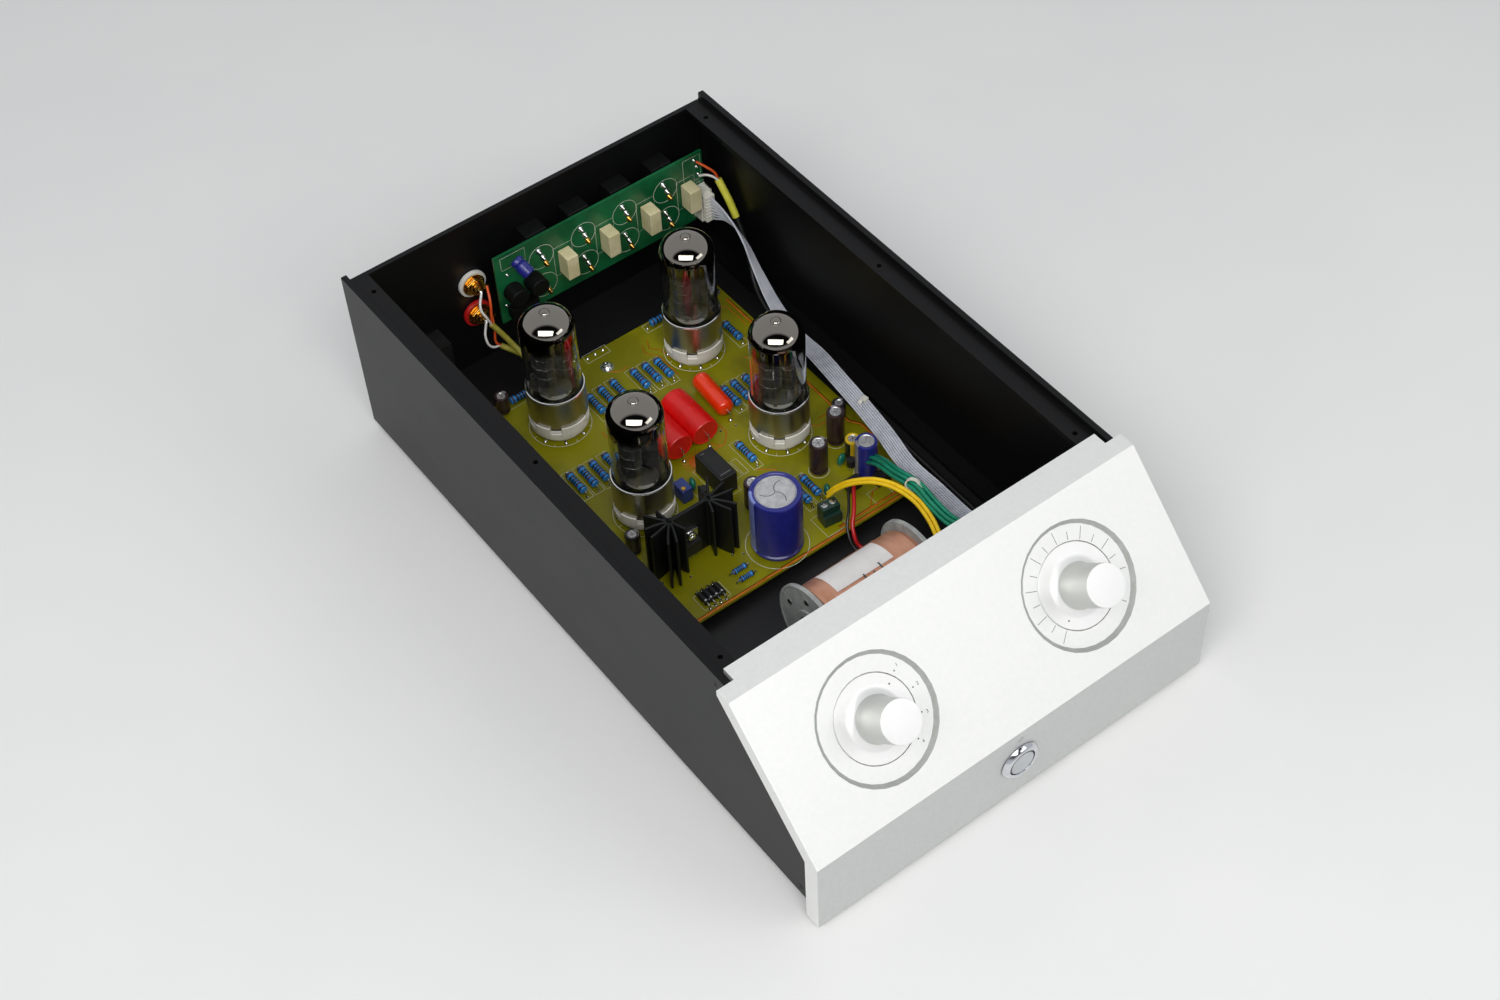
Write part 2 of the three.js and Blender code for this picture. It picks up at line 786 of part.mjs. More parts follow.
// Leads, each along its real route between the two things it joins
const ribbonWidth = 11;
const ribbonSection = outline([
  [-0.6, -ribbonWidth / 2],
  [0.6, -ribbonWidth / 2],
  [0.6, ribbonWidth / 2],
  [-0.6, ribbonWidth / 2],
]);
const leads = [
  {
    name: "ribbon_cable",
    route: [
      [102, -30, 52],
      [102.5, -42, 54],
      [102.5, -56, 49],
      [101.5, -72, 34],
      [98, -92, 25],
      [93.5, -115, 24],
      [91.5, -140, 26],
      [88, -165, 28],
      [85, -188, 29],
      [81, -213, 30],
      [76, -238, 31],
      [75, -260, 33],
      [72, -282, 38],
      [68, -302, 45],
      [57, -317, 51],
      [38, -329, 59],
      [12, -340, 68],
      [-22, -350, 72],
      [-46, -355, 68],
    ],
    section: ribbonSection,
    steps: 40,
    material: greyRibbon,
  },
  {
    name: "input_signal_cable",
    route: [
      [104.5, -19, 76],
      [109, -27, 68],
      [110.5, -36, 54],
      [110.5, -45, 40],
      [109, -53, 26],
      [105, -64, 14],
      [101, -85, 7.5],
      [99, -130, 6.5],
      [98, -190, 6.5],
      [97, -250, 7],
      [92, -300, 16],
      [80, -335, 38],
      [70, -347, 50],
    ],
    section: roundSection(2, 8),
    steps: 32,
    material: blackLead,
  },
  {
    name: "output_lead_left",
    route: [
      [-46.5, -14.5, 62],
      [-49, -19, 55],
      [-47, -21, 46],
      [-41, -24, 34],
      [-36, -34, 22],
      [-35, -46, 16],
      [-35, -53, 13.6],
    ],
    section: roundSection(1.3, 8),
    steps: 14,
    material: oliveSleeve,
  },
  {
    name: "output_lead_right",
    route: [
      [-46.5, -14.5, 39],
      [-48, -19, 33],
      [-44, -22, 28],
      [-36, -30, 22],
      [-29, -42, 16],
      [-28, -53, 13.6],
    ],
    section: roundSection(1.3, 8),
    steps: 12,
    material: oliveSleeve,
  },
  {
    name: "volume_leads",
    route: [
      [67, -212, 15.5],
      [66, -219, 26],
      [63, -232, 37],
      [60, -248, 45],
      [60, -265, 50],
      [58, -281, 51],
      [57, -296, 53],
      [58, -318, 64],
      [61, -345, 67],
    ],
    section: roundSection(3, 8),
    steps: 18,
    material: greenLead,
  },
  {
    name: "heater_leads",
    route: [
      [33, -223, 24],
      [36, -227, 31],
      [42, -236, 40],
      [49, -250, 47],
      [53, -266, 49],
      [51, -283, 51],
      [46, -298, 51.5],
      [41.5, -308, 51],
      [37.5, -316, 49.5],
    ],
    section: roundSection(2.2, 8),
    steps: 16,
    material: yellowLead,
  },
  {
    name: "high_voltage_leads",
    route: [
      [53, -219, 14.5],
      [50, -223, 22],
      [44, -230, 26],
      [37, -239, 25],
      [30, -247, 18],
      [30, -255, 11],
      [37, -264, 12],
      [39, -276, 18],
      [38.5, -285, 24],
    ],
    section: roundSection(1.6, 8),
    steps: 18,
    material: redLead,
  },
];
for (const { name, route, section, steps, material } of leads) {
  chassis.add(piece(name, lead(route, section, steps), material));
}

// Stand the chassis on its feet with the footprint's middle at the origin.
const frontMost = panelNose + bezelProud;
chassis.position.set(0, (frontMost - rcaReach) / 2, footHeight);

export default amplifier;
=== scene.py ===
import math

import bpy
from mathutils import Euler, Matrix, Vector


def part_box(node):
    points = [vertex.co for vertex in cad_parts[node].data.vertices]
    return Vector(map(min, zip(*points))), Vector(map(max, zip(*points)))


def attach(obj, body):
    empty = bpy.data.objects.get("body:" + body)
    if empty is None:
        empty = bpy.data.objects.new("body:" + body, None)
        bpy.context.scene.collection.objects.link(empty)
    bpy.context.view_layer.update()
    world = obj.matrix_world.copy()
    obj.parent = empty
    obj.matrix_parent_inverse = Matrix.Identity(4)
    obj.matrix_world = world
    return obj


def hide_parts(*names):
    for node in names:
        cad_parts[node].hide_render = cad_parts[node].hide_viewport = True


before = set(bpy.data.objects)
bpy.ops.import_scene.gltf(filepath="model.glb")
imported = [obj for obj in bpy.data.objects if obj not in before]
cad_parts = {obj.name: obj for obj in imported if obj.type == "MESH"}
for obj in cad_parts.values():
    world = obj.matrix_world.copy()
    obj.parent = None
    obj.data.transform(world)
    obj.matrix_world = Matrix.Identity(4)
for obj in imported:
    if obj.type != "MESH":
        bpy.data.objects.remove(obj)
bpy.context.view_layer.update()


# Studio
# A flat pale paper floor under a large soft box at the front left and a small weak one at the front right,
# in a pale surround with a dark patch overhead towards the front left.
def pick(*pieces):
    """Leaves object mode's selection holding these pieces alone, the first one active."""
    if bpy.context.object and bpy.context.object.mode != "OBJECT":
        bpy.ops.object.mode_set(mode="OBJECT")
    bpy.ops.object.select_all(action="DESELECT")
    for piece in pieces:
        piece.select_set(True)
    if pieces:
        bpy.context.view_layer.objects.active = pieces[0]


def shade(red, green, blue):
    """A shader colour from three screen values of 0 to 255."""
    linear = [((value / 255 + 0.055) / 1.055) ** 2.4 for value in (red, green, blue)]
    return (*linear, 1.0)


class Signal:
    """A shader socket that takes part in sums and products; each one adds its Math node."""

    def __init__(self, finish, socket):
        self.finish, self.socket = finish, socket

    def _math(self, operation, first, second):
        return self.finish.node("ShaderNodeMath", {"operation": operation}, {0: first, 1: second})

    def __add__(self, other):
        return self._math("ADD", self, other)

    def __sub__(self, other):
        return self._math("SUBTRACT", self, other)

    def __rsub__(self, other):
        return self._math("SUBTRACT", other, self)

    def __mul__(self, other):
        return self._math("MULTIPLY", self, other)

    __radd__ = __add__
    __rmul__ = __mul__


class Nodes:
    """The nodes of a material or a surround, and the shader that they feed."""

    def __init__(self, owner, shader):
        owner.use_nodes = True
        self.tree = owner.node_tree
        self.shader = self.tree.nodes[shader]

    def node(self, kind, settings=None, sockets=None, output=0):
        """Adds a node, its settings first, then the values or links of its sockets."""
        made = self.tree.nodes.new(kind)
        for name, value in (settings or {}).items():
            setattr(made, name, value)
        for key, value in (sockets or {}).items():
            if isinstance(value, Signal):
                self.tree.links.new(value.socket, made.inputs[key])
            else:
                made.inputs[key].default_value = value
        return Signal(self, made.outputs[output])

    def feed(self, socket, signal):
        self.tree.links.new(signal.socket, self.shader.inputs[socket])

    def blend(self, share, first, second):
        """A colour that goes from the first to the second as share goes from 0 to 1."""
        return self.node("ShaderNodeMix", {"data_type": "RGBA"}, {0: share, 6: first, 7: second}, output=2)


class Finish(Nodes):
    """A material in the making: a Principled shader, and the nodes that vary it over the surface."""

    def __init__(self, name, **constants):
        self.material = bpy.data.materials.new(name)
        super().__init__(self.material, "Principled BSDF")
        for socket, value in constants.items():
            self.shader.inputs[socket.replace("_", " ").title().replace("Ior", "IOR")].default_value = value

    def place(self, stretch=(1, 1, 1), centre=(0, 0, 0)):
        """Object coordinates from a centre, squeezed where stretch is above 1."""
        where = self.node("ShaderNodeTexCoord", output=3)
        size = [1 / factor for factor in stretch]
        return self.node("ShaderNodeMapping", {"vector_type": "TEXTURE"}, {0: where, 1: centre, 3: size})

    def noise(self, scale, detail=4.0, **where):
        sockets = {"Vector": self.place(**where), "Scale": scale, "Detail": detail, "Roughness": 0.6}
        return self.node("ShaderNodeTexNoise", None, sockets)

    def raise_by(self, height, distance):
        self.feed("Normal", self.node("ShaderNodeBump", None, {"Distance": distance, "Height": height}))

    def mottle(self, scale, first, second, gloss, bump=0.0, bump_scale=None, **where):
        """Colour and roughness that wander between two values, and a fine grain bump metres deep."""
        low_end, contrast = 0.35, 3.3
        share = self.node("ShaderNodeClamp", None, {0: (self.noise(scale, **where) - low_end) * contrast})
        self.feed("Base Color", self.blend(share, shade(*first), shade(*second)))
        self.feed("Roughness", gloss[0] + share * (gloss[1] - gloss[0]))
        if bump:
            self.raise_by(self.noise(bump_scale or scale * 8, 2.0, **where), bump)
        return self


scene = bpy.context.scene
lens = bpy.data.cameras.new("camera")
lens.lens, lens.sensor_width = 56.7366, 36
lens.clip_start, lens.clip_end = 0.02, 60
camera = bpy.data.objects.new("camera", lens)
camera.location = (-0.465293, -0.667996, 0.993915)
camera.rotation_euler = [math.radians(angle) for angle in (40.20058, 2.15971, -37.14999)]
scene.collection.objects.link(camera)
scene.camera = camera

pick()
bpy.ops.mesh.primitive_plane_add(size=9, location=(0, 0, 0))
floor = bpy.context.object
bpy.ops.object.mode_set(mode="EDIT")
bpy.ops.mesh.subdivide(number_cuts=2)
bpy.ops.object.mode_set(mode="OBJECT")
floor.name = "floor"
paper = Finish("pale_paper", roughness=0.75)
paper.mottle(3, (226, 226, 225), (230, 230, 228), (0.7, 0.8), bump=0.00005, bump_scale=900)
floor.data.materials.append(paper.material)


def soft_box(name, place, aim, width, height, power):
    """A rectangular soft light at a place, facing a point."""
    data = bpy.data.lights.new(name, "AREA")
    data.shape, data.size, data.size_y, data.energy = "RECTANGLE", width, height, power
    light = bpy.data.objects.new(name, data)
    light.location = place
    light.rotation_euler = (Vector(aim) - Vector(place)).to_track_quat("-Z", "Y").to_euler()
    scene.collection.objects.link(light)


soft_box("key_box", (-0.82, -0.95, 1.66), (0, 0, 0), 2.0, 0.9, 33)
soft_box("side_box", (0.8, -1.5, 1.2), (0, 0, 0), 1.0, 0.5, 4.5)

surround = bpy.data.worlds.new("surround")
sky = Nodes(surround, "Background")
dark_side = Vector((-0.49, -0.71, 0.5))
gaze = sky.node("ShaderNodeTexCoord")
nearness = sky.node("ShaderNodeVectorMath", {"operation": "DOT_PRODUCT"}, {0: gaze, 1: dark_side}, output=1)
climb = sky.node("ShaderNodeSeparateXYZ", None, {0: gaze}, output=2)
ahead = sky.node("ShaderNodeClamp", None, {0: (nearness - 0.5) * 8})
aloft = sky.node("ShaderNodeClamp", None, {0: (climb - 0.3) * 5})
sky.feed("Color", sky.blend(ahead * aloft, shade(226, 228, 232), shade(26, 26, 28)))
sky.shader.inputs["Strength"].default_value = 0.75
scene.world = surround
scene.view_settings.view_transform = "Standard"

# Side panels
# Two black-anodised aluminium extrusions, each with a lip and screw ledges along its long edges, drilled and
# tapped from above for the lid and held to the front panel by two socket screws.
MM = 0.001
rear_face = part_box("rear_panel")[1].y
lower_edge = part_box("left_side_panel")[0].z


def mm(x, y, z=0):
    """A place in metres, from millimetres."""
    return Vector((x, y, z)) * MM


def spot(x, y, z):
    """A place in millimetres right of the middle, ahead of (minus) the rear face and above the lower edge."""
    return Vector((x * MM, rear_face + y * MM, lower_edge + z * MM))


def applied(piece, kind, **settings):
    """Gives a piece a modifier of a kind with its settings, and applies it."""
    pick(piece)
    modifier = piece.modifiers.new(kind, kind)
    for name, value in settings.items():
        setattr(modifier, name, value)
    bpy.ops.object.modifier_apply(modifier=modifier.name)
    return piece


def cut_by(piece, tool):
    """Cuts another object's shape out of a piece and deletes that object."""
    applied(piece, "BOOLEAN", object=tool, operation="DIFFERENCE")
    bpy.data.objects.remove(tool)


def ease(piece, width, segments=2, angle=30):
    """Rounds a piece's sharp edges by a width in millimetres and smooths its curved faces."""
    pick(piece)
    limit = math.radians(angle)
    if width:
        applied(piece, "BEVEL", width=width * MM, segments=segments, limit_method="ANGLE", angle_limit=limit)
    bpy.ops.object.shade_smooth_by_angle(angle=limit)
    return applied(piece, "WEIGHTED_NORMAL", keep_sharp=True)


def fine_copy(node, width, segments=2, angle=30):
    """A copy of a frame node, its doubles merged, its flat faces made whole and its edges eased."""
    piece = bpy.data.objects.new(node + "_fine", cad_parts[node].data.copy())
    scene.collection.objects.link(piece)
    pick(piece)
    bpy.ops.mesh.customdata_custom_splitnormals_clear()
    bpy.ops.object.mode_set(mode="EDIT")
    bpy.ops.mesh.select_all(action="SELECT")
    bpy.ops.mesh.remove_doubles(threshold=0.01 * MM)
    bpy.ops.mesh.dissolve_limited(angle_limit=math.radians(0.5))
    bpy.ops.object.mode_set(mode="OBJECT")
    return ease(piece, width, segments, angle)


def finished_in(piece, *finishes):
    """Gives a piece its finishes, the first one on all its faces."""
    piece.data.materials.clear()
    for finish in finishes:
        piece.data.materials.append(finish.material)
    return piece


def painted(piece, index, chosen):
    """Gives another of a piece's finishes to the faces whose centre and normal are chosen."""
    for face in piece.data.polygons:
        if chosen(face.center / MM, face.normal):
            face.material_index = index
    return piece


def complete(piece, name, slot, *nodes, body="chassis"):
    """Names a piece, sets it riding on its body and hides the frame nodes it stands for; its slot is not
    used.
    """
    piece.name = piece.data.name = name
    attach(piece, body)
    if nodes:
        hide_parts(*nodes)
    return piece


def placed(piece, place=(0, 0, 0), turn=(0, 0, 0)):
    """Stands a part at its place, turned by degrees about x, then y, then z, and sets that in its mesh."""
    turned_by = Euler([math.radians(angle) for angle in turn]).to_matrix().to_4x4()
    pick(piece)
    piece.matrix_world = Matrix.Translation(place) @ turned_by @ piece.matrix_world
    bpy.ops.object.transform_apply(location=True, rotation=True, scale=True)
    return piece


def joined(*parts):
    """Makes several parts one piece."""
    pick(*parts)
    bpy.ops.object.join()
    return parts[0]


def copies(part, places, turn=(0, 0, 0)):
    """A part at each of several places, the last one the part itself."""
    made = []
    for place in places[:-1]:
        twin = part.copy()
        twin.data = part.data.copy()
        scene.collection.objects.link(twin)
        made.append(placed(twin, place, turn))
    return [*made, placed(part, places[-1], turn)]


def first_vertex(x, y, z):
    """Opens edit mode on a new mesh of one vertex at a place in millimetres."""
    pick()
    bpy.ops.mesh.primitive_plane_add(size=MM, location=(0, 0, 0))
    bpy.ops.object.mode_set(mode="EDIT")
    bpy.ops.mesh.merge(type="CENTER")
    bpy.ops.transform.translate(value=mm(x, y, z))


def draw_out(x, y, z):
    """Extrudes what is selected by a move in millimetres."""
    bpy.ops.mesh.extrude_region_move(TRANSFORM_OT_translate={"value": mm(x, y, z)})


def spin_all(steps, angle, axis=(0, 0, 1)):
    """Sweeps the whole mesh round an axis through the origin and selects the result."""
    bpy.ops.mesh.select_all(action="SELECT")
    bpy.ops.mesh.spin(steps=steps, angle=angle, center=(0, 0, 0), axis=axis)
    bpy.ops.mesh.select_all(action="SELECT")


def rounded(outline, steps=32):
    """Sweeps an outline of [radius, height] in millimetres right round the z axis and closes it."""
    (radius, height), *rest = outline
    first_vertex(radius, 0, height)
    for next_radius, next_height in rest:
        draw_out(next_radius - radius, 0, next_height - height)
        radius, height = next_radius, next_height
    spin_all(steps, math.tau)
    bpy.ops.mesh.remove_doubles(threshold=0.004 * MM)
    bpy.ops.mesh.normals_make_consistent(inside=False)
    bpy.ops.object.mode_set(mode="OBJECT")
    return bpy.context.object


anodised = Finish("black_anodised", specular_ior_level=0.23)
brushed = {"bump": 0.00002, "bump_scale": 2600, "stretch": (1, 0.3, 1)}
anodised.mottle(60, (11, 11, 12), (13, 13, 14), (0.38, 0.40), **brushed)
black_oxide = Finish("black_oxide_screw", metallic=0.8).mottle(500, (24, 24, 26), (44, 44, 46), (0.3, 0.45))


def hexagon(radius, depth, z):
    """A six-sided bar along the z axis, its middle at a height."""
    pick()
    place = mm(0, 0, z)
    bpy.ops.mesh.primitive_cylinder_add(vertices=6, radius=radius * MM, depth=depth * MM, location=place)
    return bpy.context.object


def socket_screw(head_radius, head_height, key_radius, finish):
    """A cylinder-headed screw, its underside at the origin, with a six-sided key hole."""
    rim, top, chamfer = head_radius, head_height, 0.3
    head = rounded([[0, 0], [rim, 0], [rim, top - chamfer], [rim - chamfer, top], [0, top]], 20)
    cut_by(head, hexagon(key_radius, top, top))
    return finished_in(ease(head, 0), finish)


for side, name in ((-1, "left"), (1, "right")):
    wall = finished_in(fine_copy(f"{name}_side_panel", 0.35), anodised)
    complete(wall, f"{name}_side_wall", "black_anodised", f"{name}_side_panel")
    screws = copies(
        socket_screw(1.9, 0.45, 0.9, black_oxide),
        [spot(side * 119.7, -334.4, 104.4), spot(side * 119.7, -395.3, 5.5)],
        (0, side * 90, 0),
    )
    complete(joined(*screws), f"{name}_panel_screws", "black_anodised")

# Rear panel
# A flat black-anodised aluminium plate that closes the case at the back, held between the side panels and
# punched for the jacks and the mains inlet.
plate = finished_in(fine_copy("rear_panel", 0.2), anodised)
complete(plate, "rear_plate", "black_anodised", "rear_panel")

# Bottom plate
# Black powder-coated sheet steel that closes the case from below, held between the side panels, with the
# boards' standoffs pressed into it.
powder_coat = Finish("black_powder_coat", specular_ior_level=0.5)
powder_coat.mottle(900, (14, 14, 15), (19, 19, 20), (0.38, 0.5), bump=0.00006, bump_scale=1500)
plate = finished_in(fine_copy("bottom_plate", 0.2), powder_coat)
complete(plate, "bottom_sheet", "black_steel", "bottom_plate")

# Feet
# Four turned rubber feet, each with a chamfered sole, held under the bottom plate by a zinc-plated screw
# sunk in its middle.
foot_rubber = Finish("foot_rubber").mottle(300, (22, 22, 22), (34, 34, 34), (0.75, 0.9), bump=0.00008)
zinc = Finish("zinc_plate", metallic=1.0).mottle(400, (168, 168, 164), (196, 195, 190), (0.22, 0.34))
for end in ("rear", "front"):
    for side in ("left", "right"):
        low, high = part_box(f"foot_{end}_{side}")
        centre = Vector(((low.x + high.x) / 2, (low.y + high.y) / 2, 0))
        foot = rounded([[0, 2], [3.6, 2], [3.6, 0], [11, 0], [12, 1], [11.6, 4.6], [11.2, 4.7], [0, 4.7]], 40)
        finished_in(ease(foot, 0.25), foot_rubber)
        screw = socket_screw(3, 0.6, 1.3, zinc)
        placed(screw, mm(0, 0, 1.9), (180, 0, 0))
        foot = placed(joined(foot, screw), centre)
        complete(foot, f"{end}_{side}_foot", "foot_rubber", f"foot_{end}_{side}")

# Front panel
# One thick bead-blasted aluminium section with a slanted face, two turned dial recesses and a button hole,
# held by the side panels' screws, with the dials' scales and a power mark printed on it.
bead_blasted = Finish("bead_blasted_aluminium", metallic=0.62, specular_ior_level=0.5)
bead_blasted.mottle(400, (238, 239, 236), (242, 242, 239), (0.50, 0.56), bump=0.00003, bump_scale=3500)
# The lower front face is the same bead-blasted aluminium, given a darker colour as painted shade.
lower_face_painted_shade = Finish("lower_face_aluminium_painted_shade", metallic=0.62, specular_ior_level=0.4)
lower_face_painted_shade.mottle(400, (200, 202, 201), (206, 208, 206), (0.48, 0.54), bump=0.00003, bump_scale=3500)
# The turned chamfer round each dial recess is a real finish, but its darker grey is painted shade.
cut_edge_and_painted_shade = Finish("cut_edge_aluminium_and_painted_shade", metallic=0.5)
cut_edge_and_painted_shade.mottle(300, (172, 173, 169), (184, 185, 181), (0.42, 0.5), bump=0.00001, bump_scale=2500)
panel = finished_in(fine_copy("front_panel", 0.3), bead_blasted, lower_face_painted_shade, cut_edge_and_painted_shade)
slope_place = (-382.95, 80.3)
dial_x = {"volume": 63, "selector": -63}
slope_centres = [spot(x, *slope_place) / MM for x in dial_x.values()]
slope_normal = Vector((0, -1, 1)).normalized()
# Painted shade: the faces that look straight ahead take the darker copy of the aluminium.
painted(panel, 1, lambda at, normal: normal.y < -0.9)
recess_edge, facing_slope = (29, 33.5), 0.97


def on_recess_edge(at, normal):
    """Whether a face is on the sloping edge round a dial's recess."""
    near = min((at - centre).length for centre in slope_centres)
    return recess_edge[0] < near < recess_edge[1] and abs(normal.dot(slope_normal)) < facing_slope


# Painted shade on the turned chamfer round each recess.
painted(panel, 2, on_recess_edge)
complete(panel, "front_face_panel", "front_aluminium", "front_panel")

print_ink = Finish("dark_print").mottle(2500, (70, 71, 72), (92, 93, 94), (0.5, 0.6))


def bars(runs, radius, sides, closed=False, smooth=False):
    """Round bars of a radius in millimetres along runs of places given in metres, as one mesh."""
    data = bpy.data.curves.new("bars", "CURVE")
    data.dimensions, data.bevel_depth, data.bevel_resolution = "3D", radius * MM, sides
    data.use_fill_caps, data.resolution_u = True, 10
    for run in runs:
        spline = data.splines.new("BEZIER" if smooth else "POLY")
        points = spline.bezier_points if smooth else spline.points
        points.add(len(run) - 1)
        for point, place in zip(points, run):
            if smooth:
                point.co = place
                point.handle_left_type = point.handle_right_type = "AUTO"
            else:
                point.co = (*place, 1)
        spline.use_cyclic_u = closed
    drawn = bpy.data.objects.new("bars", data)
    scene.collection.objects.link(drawn)
    pick(drawn)
    bpy.ops.object.convert(target="MESH")
    return bpy.context.object


def lines(runs, width, height, finish, closed=False):
    """Raised lines in the z = 0 plane along runs of [x, y] places in millimetres."""
    made = bars([[mm(x, y) for x, y in run] for run in runs], width / 2, 0, closed)
    made.scale = (1, 1, 2 * height / width)
    bpy.ops.object.transform_apply(location=False, rotation=False, scale=True)
    return finished_in(made, finish)


def clockwise(radius, degrees, x=0.0, y=0.0):
    """A place on a circle, by degrees clockwise from straight up."""
    return [x + radius * math.sin(math.radians(degrees)), y + radius * math.cos(math.radians(degrees))]


def ring(radius, x=0.0, y=0.0, start=0, end=360, count=48):
    """Places round a circle or along an arc of it."""
    whole = end - start == 360
    steps = count if whole else count - 1
    return [clockwise(radius, start + (end - start) * i / steps, x, y) for i in range(count)]


recess_floor, scale_start, scale_step = -2, -135, 16.875
tick_foot, long_tick, short_tick = 22.8, 29.2, 26.8
volume_ticks = []
for index in range(17):
    bearing = scale_start + index * scale_step
    reach = short_tick if index % 2 else long_tick
    volume_ticks.append([clockwise(tick_foot, bearing), clockwise(reach, bearing)])
scale = placed(lines(volume_ticks, 0.3, 0.05, print_ink), mm(0, 0, recess_floor))
placed(scale, spot(dial_x["volume"], *slope_place), (45, 0, 0))
complete(scale, "volume_scale", "front_aluminium")


def numeral(character, size, x, y):
    """A numeral as a thin raised mesh, standing at a place in the z = 0 plane."""
    pick()
    bpy.ops.object.text_add(location=(0, 0, 0))
    text = bpy.context.object
    text.data.body, text.data.size, text.data.extrude = character, size * MM, 0.04 * MM
    text.data.align_x, text.data.align_y = "CENTER", "CENTER"
    pick(text)
    bpy.ops.object.convert(target="MESH")
    return placed(finished_in(bpy.context.object, print_ink), (x * MM, y * MM, 0))


first_position, position_step = 53, 30
marks = []
for index in range(4):
    bearing = first_position + index * position_step
    dot = rounded([[0, 0], [0.42, 0], [0.42, 0.06], [0, 0.06]], 12)
    marks.append(placed(finished_in(dot, print_ink), mm(*clockwise(24.4, bearing))))
    marks.append(numeral(str(index + 1), 2.6, *clockwise(27.4, bearing)))
marks = placed(joined(*marks), mm(0, 0, recess_floor))
placed(marks, spot(dial_x["selector"], *slope_place), (45, 0, 0))
complete(marks, "selector_scale", "front_aluminium")

power_symbol = [ring(1.3, start=35, end=325, count=24), [[0, 0.3], [0, 1.7]]]
symbol = lines(power_symbol, 0.28, 0.05, print_ink)
complete(placed(symbol, spot(0, -414.7, 42.6), (90, 0, 0)), "power_symbol", "front_aluminium")

# Dials
# Knobs turned from solid aluminium, each a stem with a flared foot on a wide flat skirt, a polished edge and
# one filled dot, pushed on a steel shaft.
turned_metal = Finish("turned_aluminium", metallic=0.6, specular_ior_level=0.5)
lathed = {"bump": 0.00001, "bump_scale": 2500, "stretch": (1, 1, 0.2)}
turned_metal.mottle(30, (236, 236, 234), (242, 242, 240), (0.42, 0.48), **lathed)
# The stem is the same turned aluminium as the rest of the knob; its sides get a darker copy as painted shade.
stem_painted_shade = Finish("stem_aluminium_painted_shade", metallic=0.7, specular_ior_level=0.5)
stem_painted_shade.mottle(30, (196, 197, 193), (206, 207, 203), (0.36, 0.44), **lathed)
steel = Finish("plated_steel", metallic=1.0).mottle(300, (150, 150, 148), (184, 184, 180), (0.25, 0.38))

skirt = [[3.3, 14], [3.3, -3.4], [9, -3.4], [9, -5.6], [21.5, -5.6], [21.8, -5.3], [21.8, -2.35], [21.45, -2]]
turns = [i * math.pi / 16 for i in range(9)]
flare = [[11.1 + 5 * (1 - math.sin(turn)), -2 + 5 * (1 - math.cos(turn))] for turn in turns]
stem = [[10.9, 24.3], [10.8, 24.6], [10.5, 24.75], [0, 24.75]]
for name, bearing in (("volume", scale_start), ("selector", first_position)):
    knob = rounded([[0, 14], *skirt, *flare, *stem], 96)
    finished_in(ease(knob, 0), turned_metal, stem_painted_shade)
    # Painted shade on the stem's sides, between the skirt and the cap.
    painted(knob, 1, lambda at, normal: 0.4 < at.z < 24.4 and at.xy.length > 6)
    dot = finished_in(rounded([[0, -0.1], [0.5, -0.1], [0.5, 0.06], [0, 0.06]], 12), print_ink)
    placed(dot, mm(*clockwise(17.8, bearing), -2))
    knob = placed(joined(knob, dot), spot(dial_x[name], *slope_place), (45, 0, 0))
    complete(knob, f"{name}_turned_knob", "turned_aluminium", f"{name}_knob", body=f"{name}_dial")
    shaft = finished_in(fine_copy(f"{name}_shaft", 0.25), steel)
    complete(shaft, f"{name}_spindle", "plated_steel", f"{name}_shaft", body=f"{name}_dial")
for node, name in (("volume_potentiometer", "volume_control"), ("selector_switch", "selector_control")):
    control = finished_in(fine_copy(node, 0.3), zinc)
    complete(control, name, "plated_steel", node)

# Power switch
# A polished metal bezel screwed through the front panel, with a satin push button that slides in it and a
# dark ring round the button's edge.
polished = Finish("polished_aluminium", metallic=1.0)
polished.mottle(200, (206, 209, 214), (224, 226, 229), (0.10, 0.18))
switch_place = (0, -414.7, 25.4)
housing = rounded(
    [
        [0, -26.5], [8.6, -26.5], [8.6, -14], [9.4, -14], [9.4, 0.3], [11.3, 0.3], [11.5, 0.6],
        [10.6, 2.3], [9.6, 3], [8.4, 3], [7.9, 2.6], [7.9, -9.7], [0, -9.7],
    ],
    64,
)
ease(finished_in(housing, polished), 0.1)
placed(housing, spot(*switch_place), (90, 0, 0))
complete(housing, "switch_bezel", "turned_aluminium", "power_switch_housing")
satin = Finish("satin_button", metallic=0.75).mottle(150, (188, 192, 196), (202, 205, 208), (0.32, 0.42))
button = rounded([[0, -6.5], [7.5, -6.5], [7.5, 2.1], [7.1, 2.6], [6.4, 2.8], [0, 2.8]], 64)
ease(finished_in(button, satin), 0)
dark_ring = rounded([[7.0, 2.45], [7.35, 2.2], [7.4, 2.45], [7.1, 2.72], [7.0, 2.45]], 64)
finished_in(dark_ring, print_ink)
button = placed(joined(button, dark_ring), spot(*switch_place), (90, 0, 0))
complete(button, "push_button", "turned_aluminium", "power_button", body="button")

# Transformer
# Two coils wound on flanged bobbins and wrapped in copper foil, side by side on one black round-section core
# that closes through both, with a printed paper label on the rear coil, on a black steel bracket.
def swept(points, radius, closed=False, sides=5, smooth=True):
    """A round bar or lead of a radius in millimetres along places given in metres."""
    return ease(bars([points], radius, sides, closed, smooth), 0, angle=40)


